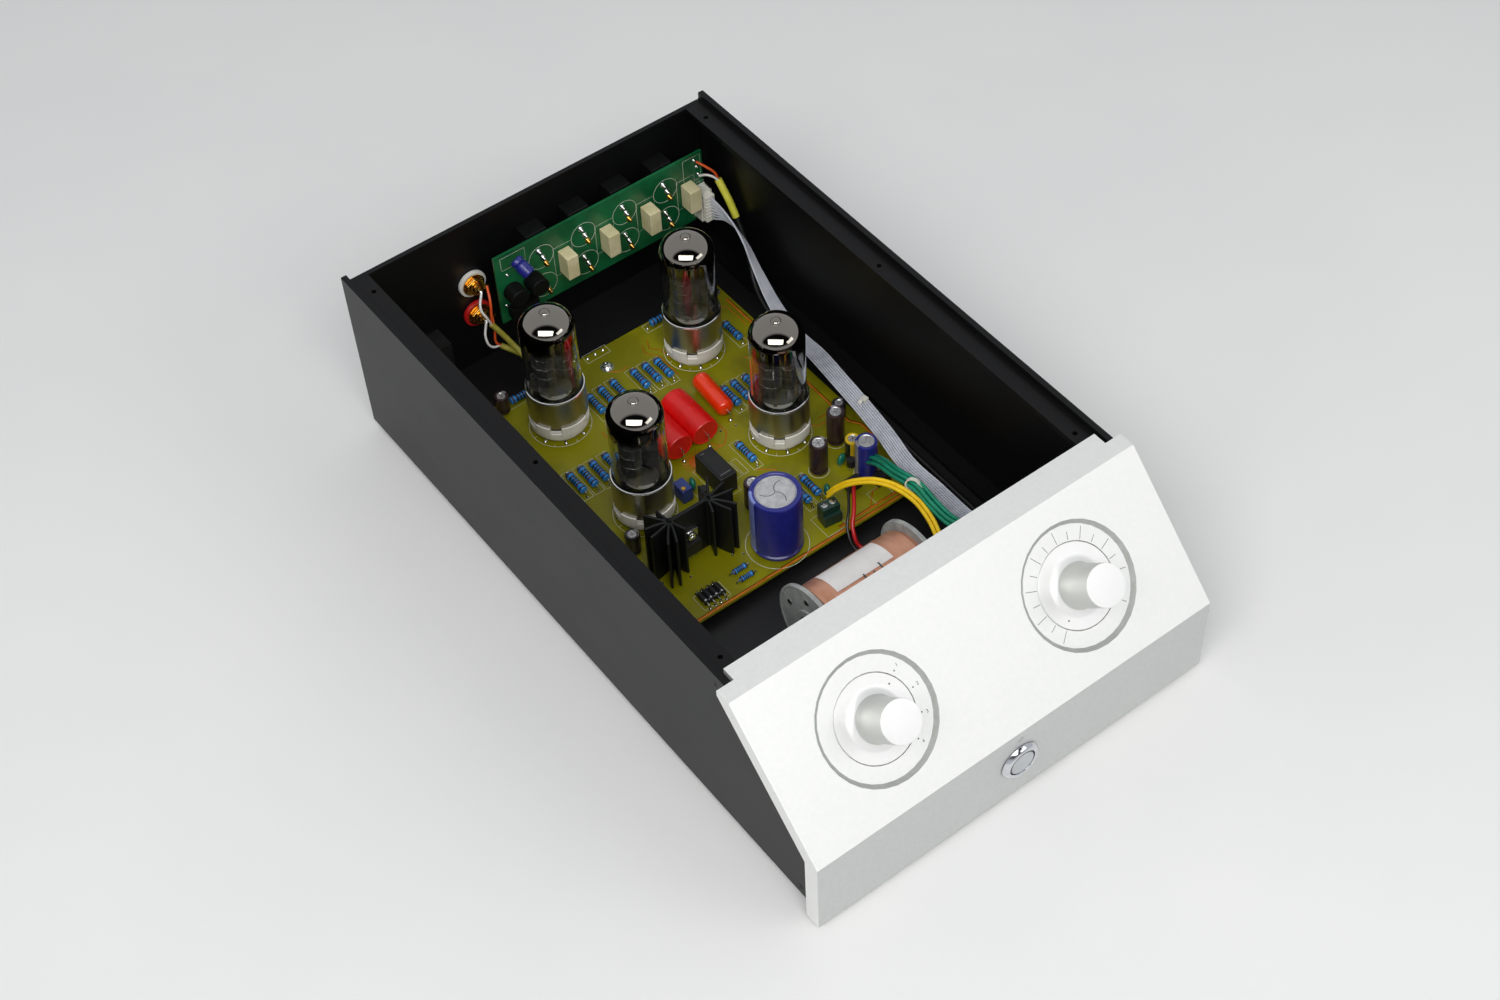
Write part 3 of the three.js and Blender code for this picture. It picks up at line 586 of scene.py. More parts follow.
def patch(radius, length, start, end, thickness=0.12):
    """A thin sheet wrapped on a round body along x, over degrees from straight up towards the front."""
    first_vertex(-length / 2, 0, radius)
    draw_out(length, 0, 0)
    spin_all(max(2, int(abs(end - start) / 4)), math.radians(end - start), (1, 0, 0))
    bpy.ops.object.mode_set(mode="OBJECT")
    sheet = placed(bpy.context.object, turn=(start, 0, 0))
    applied(sheet, "SOLIDIFY", thickness=thickness * MM, offset=0)
    bpy.ops.object.mode_set(mode="EDIT")
    bpy.ops.mesh.select_all(action="SELECT")
    bpy.ops.mesh.normals_make_consistent(inside=False)
    bpy.ops.object.mode_set(mode="OBJECT")
    return ease(sheet, 0)


foil = Finish("copper_foil", metallic=0.55)
creased = {"bump": 0.00012, "bump_scale": 240, "stretch": (3, 1, 1)}
foil.mottle(45, (204, 144, 114), (226, 170, 142), (0.34, 0.48), **creased)
bobbin = Finish("bobbin_fibre", specular_ior_level=0.4)
bobbin.mottle(220, (148, 152, 150), (176, 180, 176), (0.45, 0.6), bump=0.00005)
label_paper = Finish("label_paper").mottle(120, (232, 228, 226), (240, 237, 234), (0.6, 0.75), bump=0.00003)
core_paint = Finish("core_varnish", specular_ior_level=0.5)
core_paint.mottle(200, (26, 27, 28), (38, 39, 40), (0.4, 0.58), bump=0.0001, bump_scale=700)
coil_height, coil_rear, coil_pitch = 33.5, -297, 58
for index, name in enumerate(("rear", "front")):
    winding = rounded(
        [
            [10.4, -31.9], [22.6, -31.9], [22.6, -30.2], [23.7, -29.9], [24, -29.5], [24, -0.3],
            [24.15, -0.2], [24.15, 20], [24, 20.1], [24, 29.5], [23.7, 29.9], [22.6, 30.2], [22.6, 31.9],
            [10.4, 31.9], [10.4, -31.9],
        ],
        72,
    )
    parts = [ease(finished_in(winding, foil), 0)]
    for turn in (180, 0):
        flange = rounded(
            [
                [10.3, 32], [10.3, 35.2], [13.6, 35.2], [14, 34.2], [26.6, 34.2], [27, 34.6], [28, 34.6],
                [28.2, 34.4], [28.2, 32.2], [28, 32], [10.3, 32],
            ],
            72,
        )
        ease(finished_in(flange, bobbin), 0.12)
        eyelet = rounded([[0, 34.1], [1.7, 34.1], [1.7, 34.7], [1.2, 35], [0.7, 34.7], [0, 34.6]], 16)
        holes = [mm(*clockwise(20.6, bearing)) for bearing in (20, 75, 130, 200, 255, 310)]
        eyelets = copies(finished_in(ease(eyelet, 0), zinc), holes)
        parts.append(placed(joined(flange, *eyelets), turn=(0, turn, 0)))
    coil = placed(joined(*parts), spot(0, coil_rear - coil_pitch * index, coil_height), (0, 90, 0))
    complete(coil, f"{name}_coil", "copper_foil", f"transformer_coil_{name}")

label = [finished_in(patch(24.28, 36, 4, 52), label_paper)]
for offset, start, length in ((-8, 28, 8), (-1, 18, 16), (4.5, 20, 14), (9.5, 16, 17), (14, 22, 12)):
    bar = patch(24.4, 0.9 if offset > -5 else 3.4, start, start + length, 0.08)
    label.append(placed(finished_in(bar, print_ink), (offset * MM, 0, 0)))
label = placed(joined(*label), spot(-2, coil_rear, coil_height))
complete(label, "coil_label", "copper_foil")


def bend(first, corner, last, count=12):
    """Places round a corner, drawn towards it."""
    shares = [i / count for i in range(count)]
    return [first * (1 - s) ** 2 + corner * 2 * s * (1 - s) + last * s * s for s in shares]


core_low, core_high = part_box("transformer_core")
core_radius = (core_high.z - core_low.z) / 2 / MM
centre = (core_low + core_high) / 2
reach_x, reach_y = ((core_high - core_low) / 2).x - core_radius * MM, coil_pitch / 2 * MM
corner = 18 * MM
path = []
for sign_x, sign_y in ((1, 1), (1, -1), (-1, -1), (-1, 1)):
    here = centre + Vector((sign_x * reach_x, sign_y * reach_y, 0))
    along_x, along_y = Vector((-sign_x * corner, 0, 0)), Vector((0, -sign_y * corner, 0))
    sides = (along_x, along_y) if sign_x == sign_y else (along_y, along_x)
    path += [*bend(here + sides[0], here, here + sides[1]), here + sides[1]]
core = finished_in(swept(path, core_radius, closed=True, sides=12, smooth=False), core_paint)
complete(core, "round_core", "core_steel", "transformer_core")
bracket = finished_in(fine_copy("transformer_bracket", 0.3), powder_coat)
complete(bracket, "coil_bracket", "black_steel", "transformer_bracket")

# Main board
# Glass-epoxy board with an olive solder mask over heavy copper, white outlines for the parts and tinned pads,
# screwed to five standoffs.
board_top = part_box("main_board")[1].z
mask = Finish("olive_board", coat_weight=0.1, coat_roughness=0.2, specular_ior_level=0.3)
weave = mask.noise(900, 2.0, stretch=(12, 1, 1)) + mask.noise(900, 2.0, stretch=(1, 12, 1))
cloud = mask.noise(26, 3.0)
pour = mask.node("ShaderNodeClamp", None, {0: (cloud - 0.46) * 9})
olive = mask.blend(pour, shade(126, 123, 0), shade(144, 140, 1))
mask.feed("Base Color", mask.blend((weave - 0.8) * 0.5, olive, shade(104, 101, 0)))
mask.feed("Roughness", 0.3 + cloud * 0.16)
mask.raise_by(weave, 0.00003)
board = finished_in(fine_copy("main_board", 0.12), mask)
complete(board, "olive_main_board", "main_laminate", "main_board")

copper = Finish("masked_copper", metallic=0.25, coat_weight=0.3)
copper.mottle(120, (196, 104, 8), (224, 128, 22), (0.28, 0.4), bump=0.00003)
paint = Finish("white_print").mottle(1200, (206, 208, 188), (228, 228, 212), (0.5, 0.62))
tin = Finish("solder_tin", metallic=1.0)
tin.mottle(600, (184, 186, 186), (226, 228, 228), (0.12, 0.28), bump=0.0001, bump_scale=900)


def on_board(part, x=0, y=0, above=0.0, turn=(0, 0, 0)):
    """Stands a part on the main board, at millimetres right of the middle and ahead of the rear face."""
    return placed(part, Vector((x * MM, rear_face + y * MM, board_top + above * MM)), turn)


heavy = [
    [[-84, -239.6], [87, -239.6]],
    [[30, -236.6], [80, -236.6], [86, -230], [86, -186], [82, -180], [82, -132], [86.5, -126], [86.5, -60]],
    [[87, -239], [87, -200]],
]
fine = [
    [[66, -48], [83, -66], [83, -84]],
    [[62, -48], [74, -60]],
    [[26, -60], [24, -66], [29, -72], [29, -92]],
    [[31, -58], [28, -64], [33, -70], [33, -78]],
    [[-2, -63], [4, -68], [10, -68]],
    [[70, -168], [84, -168]],
    [[60, -166], [66, -172], [78, -172]],
    [[9, -150], [18, -150], [24, -144], [24, -136]],
    [[12, -146], [16, -150]],
    [[-66, -140], [-70, -146], [-70, -172]],
    [[-52, -180], [-60, -188], [-60, -204]],
    [[20, -176], [28, -182], [28, -194]],
    [[52, -236], [60, -228], [76, -228]],
    [[-78, -60], [-78, -100], [-70, -108]],
    [[-30, -100], [-30, -112], [-22, -118]],
    [[66, -104], [74, -112], [74, -150]],
    [[8, -186], [8, -196], [14, -202]],
]
sun = (-1.5, -151)
rays = [[clockwise(4.2, a, *sun), clockwise(8.8 if a % 24 else 10.5, a, *sun)] for a in range(-150, 120, 12)]
tracks = joined(
    lines(heavy, 1.9, 0.09, copper),
    lines(fine, 0.75, 0.08, copper),
    lines(rays, 0.5, 0.08, copper),
    placed(finished_in(rounded([[0, 0], [4.6, 0], [4.4, 0.09], [0, 0.09]], 32), copper), mm(*sun)),
)
complete(on_board(tracks), "board_tracks", "main_laminate")

tube_places = {
    "rear_left": (-44.2, -79.8),
    "rear_right": (48, -80.7),
    "front_left": (-44.5, -162),
    "front_right": (47.2, -162.6),
}
resistor_places = [
    (9, -82.2), (17, -82.4), (24.4, -83.6), (-21.6, -82.2), (-13.1, -81.6), (-4.7, -81.4),
    (-63.2, -123.6), (-55.7, -123.8), (-48.4, -124.2), (-39.8, -124.2), (41, -125.2), (48, -125),
    (55.8, -125.6), (22.3, -164), (35, -205.2), (27.6, -206.4), (72.3, -85),
]  # these lie towards the front
cross_places = [(46.5, -50.5), (-50.5, -50.5)]  # these lie across


def frame_round(x, y, width, depth):
    """The corners of an outline round a part."""
    a, b = width / 2, depth / 2
    return [[x - a, y - b], [x + a, y - b], [x + a, y + b], [x - a, y + b]]


circles = [ring(17.6, *place) for place in tube_places.values()] + [ring(17.2, -2.6, -224.7)]
can_circles = ((67, -187, 5.6), (46.5, -198, 5.6), (66, -215, 6.8))
small_circles = [ring(radius, x, y, count=28) for x, y, radius in can_circles]
boxes = [frame_round(x, y, 6.2, 23.5) for x, y in resistor_places]
boxes += [frame_round(x, y, 23.5, 6.2) for x, y in cross_places]
other_boxes = (
    (1.8, -48.5, 15.5, 6.6), (28, -230.5, 13.5, 15.5), (-51, -231.2, 17, 11), (-24, -168, 15, 17),
    (-1.5, -169, 13, 27), (62, -232, 12, 9), (-74, -150, 5, 14), (14.5, -168.5, 3.4, 12),
    (10, -168.5, 3.4, 12), (-78, -214, 8, 20), (78, -120, 7, 14),
)
boxes += [frame_round(*box) for box in other_boxes]
spokes = [
    [clockwise(15.7, bearing, *place), clockwise(17.6, bearing, *place)]
    for place in tube_places.values()
    for bearing in range(0, 360, 45)
]
print_lines = joined(
    lines([*circles, *small_circles], 0.42, 0.08, paint, closed=True),
    lines(boxes, 0.34, 0.08, paint, closed=True),
    lines(spokes, 0.34, 0.08, paint),
)
complete(on_board(print_lines), "board_outlines", "main_laminate")


def solder_joint(radius, height):
    """A tinned pad with a small cone of solder drawn up round a clipped wire."""
    cone = [[radius * 0.62, height * 0.3], [radius * 0.3, height * 0.8], [0, height]]
    joint = rounded([[0, -0.02], [radius, -0.02], [radius, 0.05], *cone], 12)
    return finished_in(ease(joint, 0, angle=60), tin)


pin_bearings = [22.5 + 45 * i for i in range(8)]
lead_reach = 10
joints = {
    1.15: [clockwise(15.6, bearing, *place) for place in tube_places.values() for bearing in pin_bearings],
    1.0: [(x, y + end) for x, y in resistor_places for end in (lead_reach, -lead_reach)]
    + [(x + end, y) for x, y in cross_places for end in (lead_reach, -lead_reach)],
    1.2: [(-4.2, -48.4), (1.2, -48.2), (6.6, -48.2)],
    0.8: [
        (-26, -216), (-21, -219), (-52, -214), (12, -216), (22, -196), (6, -191), (-20, -142), (22, -141),
        (4, -147), (31, -143), (-70, -196), (-66, -208),
    ],
}
pads = []
for radius, places in joints.items():
    pads += copies(solder_joint(radius, 1.1), [mm(x, y) for x, y in places])
complete(on_board(joined(*pads)), "board_solder_joints", "plated_steel")

corner_screws = [(-81, -51), (84, -51), (-81, -236), (84, -236), (0.8, -60.9)]
washer = finished_in(ease(rounded([[0, 0], [3.9, 0], [3.9, 0.5], [0, 0.5]], 28), 0.12), tin)
pan_head = rounded([[0, 0.5], [2.9, 0.5], [2.9, 1.3], [2.2, 2.0], [0, 2.3]], 24)
ease(finished_in(pan_head, tin), 0)
for turn in (0, 90):
    pick()
    bpy.ops.mesh.primitive_cube_add(size=1, scale=(3.4 * MM, 0.6 * MM, 1.4 * MM), location=(0, 0, 2.3 * MM))
    blade = bpy.context.object
    blade.rotation_euler.z = math.radians(turn)
    cut_by(pan_head, blade)
screws = copies(joined(pan_head, washer), [mm(x, y) for x, y in corner_screws])
complete(on_board(joined(*screws)), "board_screws", "plated_steel")

# Tubes
# Octal double triodes: a bright metal shell round a black wafer with eight pins, a blown glass envelope with
# a silvery getter mirror inside its dome and the sealed tip on top, and grey anodes between two micas. Each
# pulls straight up out of a white ceramic socket that has raised lugs round it.
ceramic = Finish("white_ceramic", coat_weight=0.3, coat_roughness=0.25)
ceramic.mottle(160, (222, 218, 206), (236, 233, 224), (0.3, 0.45), bump=0.00003)
shell_metal = Finish("tube_shell", metallic=1.0)
drawn_grain = {"bump": 0.00001, "bump_scale": 2200, "stretch": (1, 1, 0.1)}
shell_metal.mottle(90, (178, 174, 166), (198, 195, 188), (0.30, 0.36), **drawn_grain)
bright_rim = Finish("bright_rim", metallic=1.0).mottle(200, (226, 226, 222), (238, 238, 234), (0.08, 0.16))
phenolic = Finish("black_phenolic").mottle(400, (18, 17, 16), (30, 28, 26), (0.35, 0.5), bump=0.00002)
glass = Finish("tube_glass", transmission_weight=1.0, ior=1.46)
glass.mottle(60, (244, 246, 245), (250, 251, 250), (0.0, 0.015))
getter = Finish("getter_mirror", metallic=1.0, coat_weight=0.6, coat_roughness=0.02)
mirror_edge, waver, fade = 64, 7, 0.16
height = getter.node("ShaderNodeSeparateXYZ", None, {0: getter.place(centre=(0, 0, board_top))}, output=2)
smoke = getter.noise(120, 4.0)
cover = getter.node("ShaderNodeClamp", None, {0: (height * 1000 - mirror_edge - smoke * waver) * fade})
getter.feed("Base Color", getter.blend(cover, shade(74, 58, 46), shade(140, 135, 126)))
getter.feed("Roughness", 0.02 + smoke * 0.05)
getter.feed("Alpha", cover)
anode = Finish("grey_anode", metallic=0.6)
anode.mottle(300, (84, 83, 82), (112, 111, 109), (0.38, 0.5), bump=0.00005)
mica = Finish("mica_sheet", alpha=0.55).mottle(300, (92, 88, 80), (116, 110, 100), (0.25, 0.4))
nickel = Finish("nickel_wire", metallic=1.0).mottle(500, (150, 150, 148), (190, 190, 186), (0.2, 0.3))


def block(low, high, width=0.2, segments=2):
    """A block between two corners in millimetres, its edges eased."""
    pick()
    size = [(b - a) * MM for a, b in zip(low, high)]
    middle = [(a + b) / 2 * MM for a, b in zip(low, high)]
    bpy.ops.mesh.primitive_cube_add(size=1, scale=size, location=middle)
    bpy.ops.object.transform_apply(location=True, rotation=True, scale=True)
    return ease(bpy.context.object, width, segments)


def lug(bearing, sweep, low, high, inner, outer):
    """An upright piece of a ring, from one bearing over a number of degrees."""
    pick()
    bpy.ops.mesh.primitive_plane_add(size=MM, location=(0, 0, 0))
    bpy.ops.object.mode_set(mode="EDIT")
    bpy.ops.mesh.select_all(action="SELECT")
    bpy.ops.transform.resize(value=(outer - inner, high - low, 1))
    bpy.ops.transform.rotate(value=math.pi / 2, orient_axis="X", center_override=(0, 0, 0))
    bpy.ops.transform.translate(value=((inner + outer) / 2 * MM, 0, (low + high) / 2 * MM))
    bpy.ops.mesh.delete(type="ONLY_FACE")
    spin_all(int(sweep / 5), math.radians(sweep))
    bpy.ops.mesh.fill_holes(sides=4)
    bpy.ops.mesh.normals_make_consistent(inside=False)
    bpy.ops.object.mode_set(mode="OBJECT")
    return placed(ease(bpy.context.object, 0.3), turn=(0, 0, bearing))


dome_share, mirror_gap = 0.72, 0.04
glass_top, glass_foot, glass_radius, glass_wall = 88, 29.5, 15.4, 1.2
dome_turns = [i * math.pi / 24 for i in range(13)]
shoulder = glass_top - glass_radius * dome_share


def dome(radius, top):
    """An outline over a flattened dome, from its shoulder to the middle."""
    curve = [[radius * math.cos(turn), shoulder + (top - shoulder) * math.sin(turn)] for turn in dome_turns]
    return [*curve[:-1], [0, top]]


def tube(place, x, y):
    """A whole tube and its socket, at a place on the main board."""
    body = f"tube_{place}"
    socket = rounded(
        [
            [0, 0.3], [13.4, 0.3], [13.8, 0.6], [13.8, 2.6], [14.8, 3.3], [16.2, 4], [16.8, 4.8], [16.9, 8.6],
            [16.7, 9], [16.4, 9.1], [16.2, 9.4], [16.2, 10.2], [15.9, 10.5], [6, 10.5], [5, 9.6], [0, 9.6],
        ],
        64,
    )
    parts = [ease(finished_in(socket, ceramic), 0.15)]
    for bearing, sweep in ((-28, 56), (76, 30), (152, 56), (256, 30)):
        parts.append(finished_in(lug(bearing - 34, sweep, 7.6, 14.2, 16.86, 18), ceramic))
    tabs = solder_joint(1.0, 1.6)
    parts += copies(tabs, [mm(*clockwise(14.3, bearing), 0.1) for bearing in pin_bearings])
    complete(on_board(joined(*parts), x, y), f"{body}_socket", "socket_ceramic", f"tube_socket_{place}")

    wafer = rounded([[0, 10.8], [15.5, 10.8], [15.5, 14.3], [0, 14.3]], 64)
    parts = [ease(finished_in(wafer, phenolic), 0.3)]
    skirt_wall = [[15.9, 12.6], [16.5, 13.2], [16.75, 14], [16.75, 32.6], [15.75, 32.8], [15.75, 30.4]]
    shell = rounded([[0, 12.6], *skirt_wall, [0, 29.2]], 72)
    ease(finished_in(shell, shell_metal, phenolic), 0.12)
    parts.append(painted(shell, 1, lambda at, normal: at.z < 31 and at.xy.length < 15.75 and normal.z > 0.2))
    bead = [[15.8, 32.3], [16.5, 32.2], [16.75, 32.7], [16.6, 33.3], [16.1, 33.5], [15.8, 33.2], [15.8, 32.3]]
    parts.append(ease(finished_in(rounded(bead, 72), bright_rim), 0))
    post = rounded([[0, 1], [3, 1], [3.9, 2], [3.9, 11], [0, 11]], 24)
    parts.append(ease(finished_in(post, phenolic), 0.2))
    pin = rounded([[0, 1.5], [0.8, 1.5], [1.2, 2.1], [1.2, 11], [0, 11]], 12)
    ease(finished_in(pin, nickel), 0)
    parts += copies(pin, [mm(*clockwise(8.73, bearing)) for bearing in pin_bearings])
    complete(on_board(joined(*parts), x, y), f"{body}_shell", "tube_metal", f"tube_base_{place}", body=body)

    bore = glass_radius - glass_wall
    outline = [*reversed(dome(bore, glass_top - glass_wall)), [bore, glass_foot], [glass_radius, glass_foot]]
    outline += [*dome(glass_radius, glass_top)[:-1], [1.9, glass_top - 0.12], [0, glass_top]]
    envelope = ease(finished_in(rounded(outline, 72), glass), 0)
    complete(on_board(envelope, x, y), f"{body}_envelope", "tube_glass", f"tube_glass_{place}", body=body)

    seal = [[3.2, 87.4], [3.3, 87.9], [2.9, 88.0], [2.6, 88.5], [1.9, 89], [1.0, 89.2]]
    tip = ease(finished_in(rounded([[0, 87.2], *seal, [0, 89.25]], 32), getter), 0)
    mirror_radius = glass_radius + mirror_gap
    mirror = rounded([[mirror_radius, 62], *dome(mirror_radius, glass_top + mirror_gap)], 72)
    mirror = ease(finished_in(mirror, getter), 0)
    complete(on_board(mirror, x, y), f"{body}_getter_mirror", "electrode_metal", body=body)
    complete(on_board(tip, x, y), f"{body}_sealed_tip", "tube_glass", body=body)

    parts = []
    half_gap, squash = 5.4, (0.92, 1.2, 1)
    for z in (36, 66):
        disc = rounded([[0, z], [12.4, z], [12.4, z + 0.5], [0, z + 0.5]], 48)
        parts.append(finished_in(ease(disc, 0.1), mica))
        for bearing in range(0, 360, 45):
            tooth = finished_in(block((12, -1, z + 0.05), (13.6, 1, z + 0.45), 0.1), mica)
            parts.append(placed(tooth, turn=(0, 0, bearing)))
    for side in (-1, 1):
        plates = rounded([[0, 38.5], [5.5, 38.5], [5.5, 64], [0, 64]], 8)
        plates.scale = squash
        parts.append(ease(placed(finished_in(plates, anode), mm(side * half_gap, 0), (0, 0, 22.5)), 0.4))
        for z in (44, 51, 58):
            rib = rounded([[5.2, z], [5.8, z + 0.4], [5.8, z + 1.2], [5.2, z + 1.6]], 8)
            rib.scale = squash
            parts.append(placed(finished_in(rib, anode), mm(side * half_gap, 0), (0, 0, 22.5)))
        for dx in (-3, 0, 3):
            wire = rounded([[0, 30.4], [0.45, 30.4], [0.45, 68.5], [0, 68.5]], 10)
            parts.append(placed(finished_in(ease(wire, 0), nickel), mm(side * half_gap + dx, 0)))
    press = rounded([[0, 29.6], [9.5, 29.6], [8.2, 33], [3, 34.5], [0, 34.5]], 32)
    parts.append(finished_in(ease(press, 0.3), ceramic))
    getter_ring = rounded([[5.2, 70.2], [5.8, 70.2], [5.8, 70.9], [5.2, 70.9], [5.2, 70.2]], 40)
    parts.append(finished_in(getter_ring, nickel))
    arm = rounded([[0, 66], [0.35, 66], [0.35, 70.4], [0, 70.4]], 8)
    parts.append(placed(finished_in(arm, nickel), (5.5 * MM, 0, 0)))
    inner = on_board(joined(*parts), x, y)
    complete(inner, f"{body}_anodes", "electrode_metal", f"tube_electrodes_{place}", body=body)


for tube_name, (tube_x, tube_y) in tube_places.items():
    tube(tube_name, tube_x, tube_y)

# Resistors
# Metal-film resistors: a light blue lacquered body, fuller at both ends, with five colour bands, on tinned
# wires that bend down into their pads.
lacquer = Finish("blue_lacquer", coat_weight=0.4, coat_roughness=0.15)
lacquer.mottle(300, (30, 120, 198), (44, 138, 214), (0.26, 0.34), bump=0.00002)
band_dark = Finish("dark_band", coat_weight=0.4).mottle(800, (12, 12, 18), (22, 20, 26), (0.3, 0.4))
band_brown = Finish("brown_band", coat_weight=0.4).mottle(800, (58, 16, 14), (74, 24, 18), (0.3, 0.4))


def resistor(length, radius, span):
    """A resistor along y, its wires' ends a span apart, lying just over the z = 0 plane."""
    half, cap, waist = length / 2, length * 0.17, radius * 0.86
    cap_band = (half - cap * 0.75, half - cap * 0.35)
    bands = [(-cap_band[1], -cap_band[0])]
    for middle in (-half * 0.44, -half * 0.18, half * 0.08, half * 0.34):
        bands.append((middle - length * 0.04, middle + length * 0.04))
    bands.append(cap_band)
    heights = (half - cap, *cap_band, half - 0.8)
    rounding = [[radius * 0.85, half - 0.25], [radius * 0.5, half], [0, half]]
    front_end = [[waist, half - cap * 1.35], *[[radius, height] for height in heights], *rounding]
    rear_end = [[width, -height] for width, height in reversed(front_end)]
    between = [[waist, height] for band in bands[1:-1] for height in band]
    body = rounded([*rear_end, *between, *front_end], 20)
    finished_in(ease(body, 0, angle=40), lacquer, band_dark, band_brown)
    for index, (low, high) in enumerate(bands):
        finish = 2 if index in (0, 4) else 1
        painted(body, finish, lambda at, normal, a=low, b=high: a < at.z < b and abs(normal.z) < 0.8)
    lift = radius + 0.35
    placed(body, mm(0, 0, lift), (90, 0, 0))
    wires = []
    for sign in (-1, 1):
        reach = span / 2
        route = [(half - 0.4, lift), (reach - 0.7, lift), (reach, lift - 0.7), (reach, 0)]
        wire = swept([mm(0, sign * y, z) for y, z in route], 0.4, sides=1, smooth=False)
        wires.append(finished_in(wire, tin))
    return joined(body, *wires)


small_places = [(-29.5, -227), (-29.7, -233.4)]
resistors = []
for size, places, turn in (
    ((15.4, 2.35, 2 * lead_reach), resistor_places, 0),
    ((15.4, 2.35, 2 * lead_reach), cross_places, 90),
    ((8.8, 1.6, 13), small_places, 90),
):
    resistors += copies(resistor(*size), [mm(x, y) for x, y in places], (0, 0, turn))
for index, part in enumerate(resistors, 1):
    complete(on_board(part), f"resistor_{index}", "main_laminate")

# Coupling capacitors
# Two red film capacitors, flattened rolls with waxed flat ends, and one orange dipped tube beside them, each
# lying on the board on its two wires.
red_film = Finish("red_film", coat_weight=0.35, coat_roughness=0.2)
red_film.mottle(60, (220, 8, 6), (230, 12, 9), (0.34, 0.42), bump=0.00003, bump_scale=160, stretch=(1, 6, 1))
red_wax = Finish("red_wax")
red_wax.mottle(200, (194, 14, 11), (206, 20, 16), (0.42, 0.52), bump=0.00006, bump_scale=500)
orange_dip = Finish("orange_dip", coat_weight=0.6, coat_roughness=0.1)
orange_dip.mottle(80, (240, 50, 2), (248, 60, 5), (0.22, 0.34), bump=0.00008, bump_scale=220)


def end_wires(half, height):
    """Two wires out of the ends of a part along y, bent down to the board."""
    wires = []
    for sign in (-1, 1):
        route = [(half - 1, height), (half + 2.2, height), (half + 3, height - 1), (half + 3, 0)]
        wire = swept([mm(0, sign * y, z) for y, z in route], 0.45, sides=2, smooth=False)
        wires += [finished_in(wire, tin), placed(solder_joint(1.3, 1.2), mm(0, sign * (half + 3)))]
    return wires


def mirrored(end, steps):
    """A turned part from the outline of its upper end, the lower end its mirror image."""
    return rounded([[radius, -z] for radius, z in end] + end[::-1], steps)


roll_end = [[0, 15.6], [7, 15.6], [7.4, 15.9], [8, 15.9], [8.45, 15.4], [8.5, 14.9]]
for index, x in enumerate((10.5, -6.9), 1):
    roll = finished_in(ease(mirrored(roll_end, 64), 0), red_film, red_wax)
    painted(roll, 1, lambda at, normal: abs(normal.z) > 0.9)
    roll.scale = (1.02, 0.95, 1)
    placed(roll, mm(0, 0, 8.6), (90, 0, 0))
    part = joined(roll, *end_wires(15.6, 8.4))
    complete(on_board(part, x, -127.6), f"red_film_capacitor_{index}", "main_laminate")
dip = mirrored([[0, 15.2], [2.6, 15.1], [4.2, 14.5], [5.1, 13.4], [5.4, 12]], 48)
placed(finished_in(ease(dip, 0, angle=50), orange_dip), mm(0, 0, 5.7), (90, 0, 0))
part = joined(dip, *end_wires(14.9, 5.6))
complete(on_board(part, 32.4, -120, turn=(0, 0, -4)), "orange_capacitor", "main_laminate")

# Electrolytic capacitors
# Aluminium cans in shrunk sleeves with a rolled edge round the bare top, a pale polarity stripe down the
# side, a crimp near the foot and a scored vent in the top.
can_top = Finish("can_aluminium", metallic=0.8)
can_top.mottle(260, (196, 196, 198), (222, 222, 222), (0.28, 0.42), bump=0.00006, bump_scale=700)
score = Finish("vent_score", metallic=0.6).mottle(500, (92, 92, 96), (120, 120, 122), (0.4, 0.5))


def sleeve(name, first, second):
    """Shrunk plastic sleeving between two colours."""
    finish = Finish(name, coat_weight=0.3, coat_roughness=0.2)
    return finish.mottle(140, first, second, (0.28, 0.4), bump=0.00004, bump_scale=420)


blue_sleeve = sleeve("blue_sleeve", (28, 33, 116), (36, 41, 130))
pale_blue = sleeve("pale_blue_stripe", (112, 124, 190), (134, 146, 206))
brown_sleeve = sleeve("brown_sleeve", (38, 22, 24), (54, 34, 36))
black_sleeve = sleeve("black_sleeve", (20, 20, 22), (32, 32, 34))
yellow_stripe = sleeve("yellow_stripe", (206, 172, 22), (226, 192, 40))
grey_stripe = sleeve("grey_stripe", (120, 116, 122), (146, 142, 148))


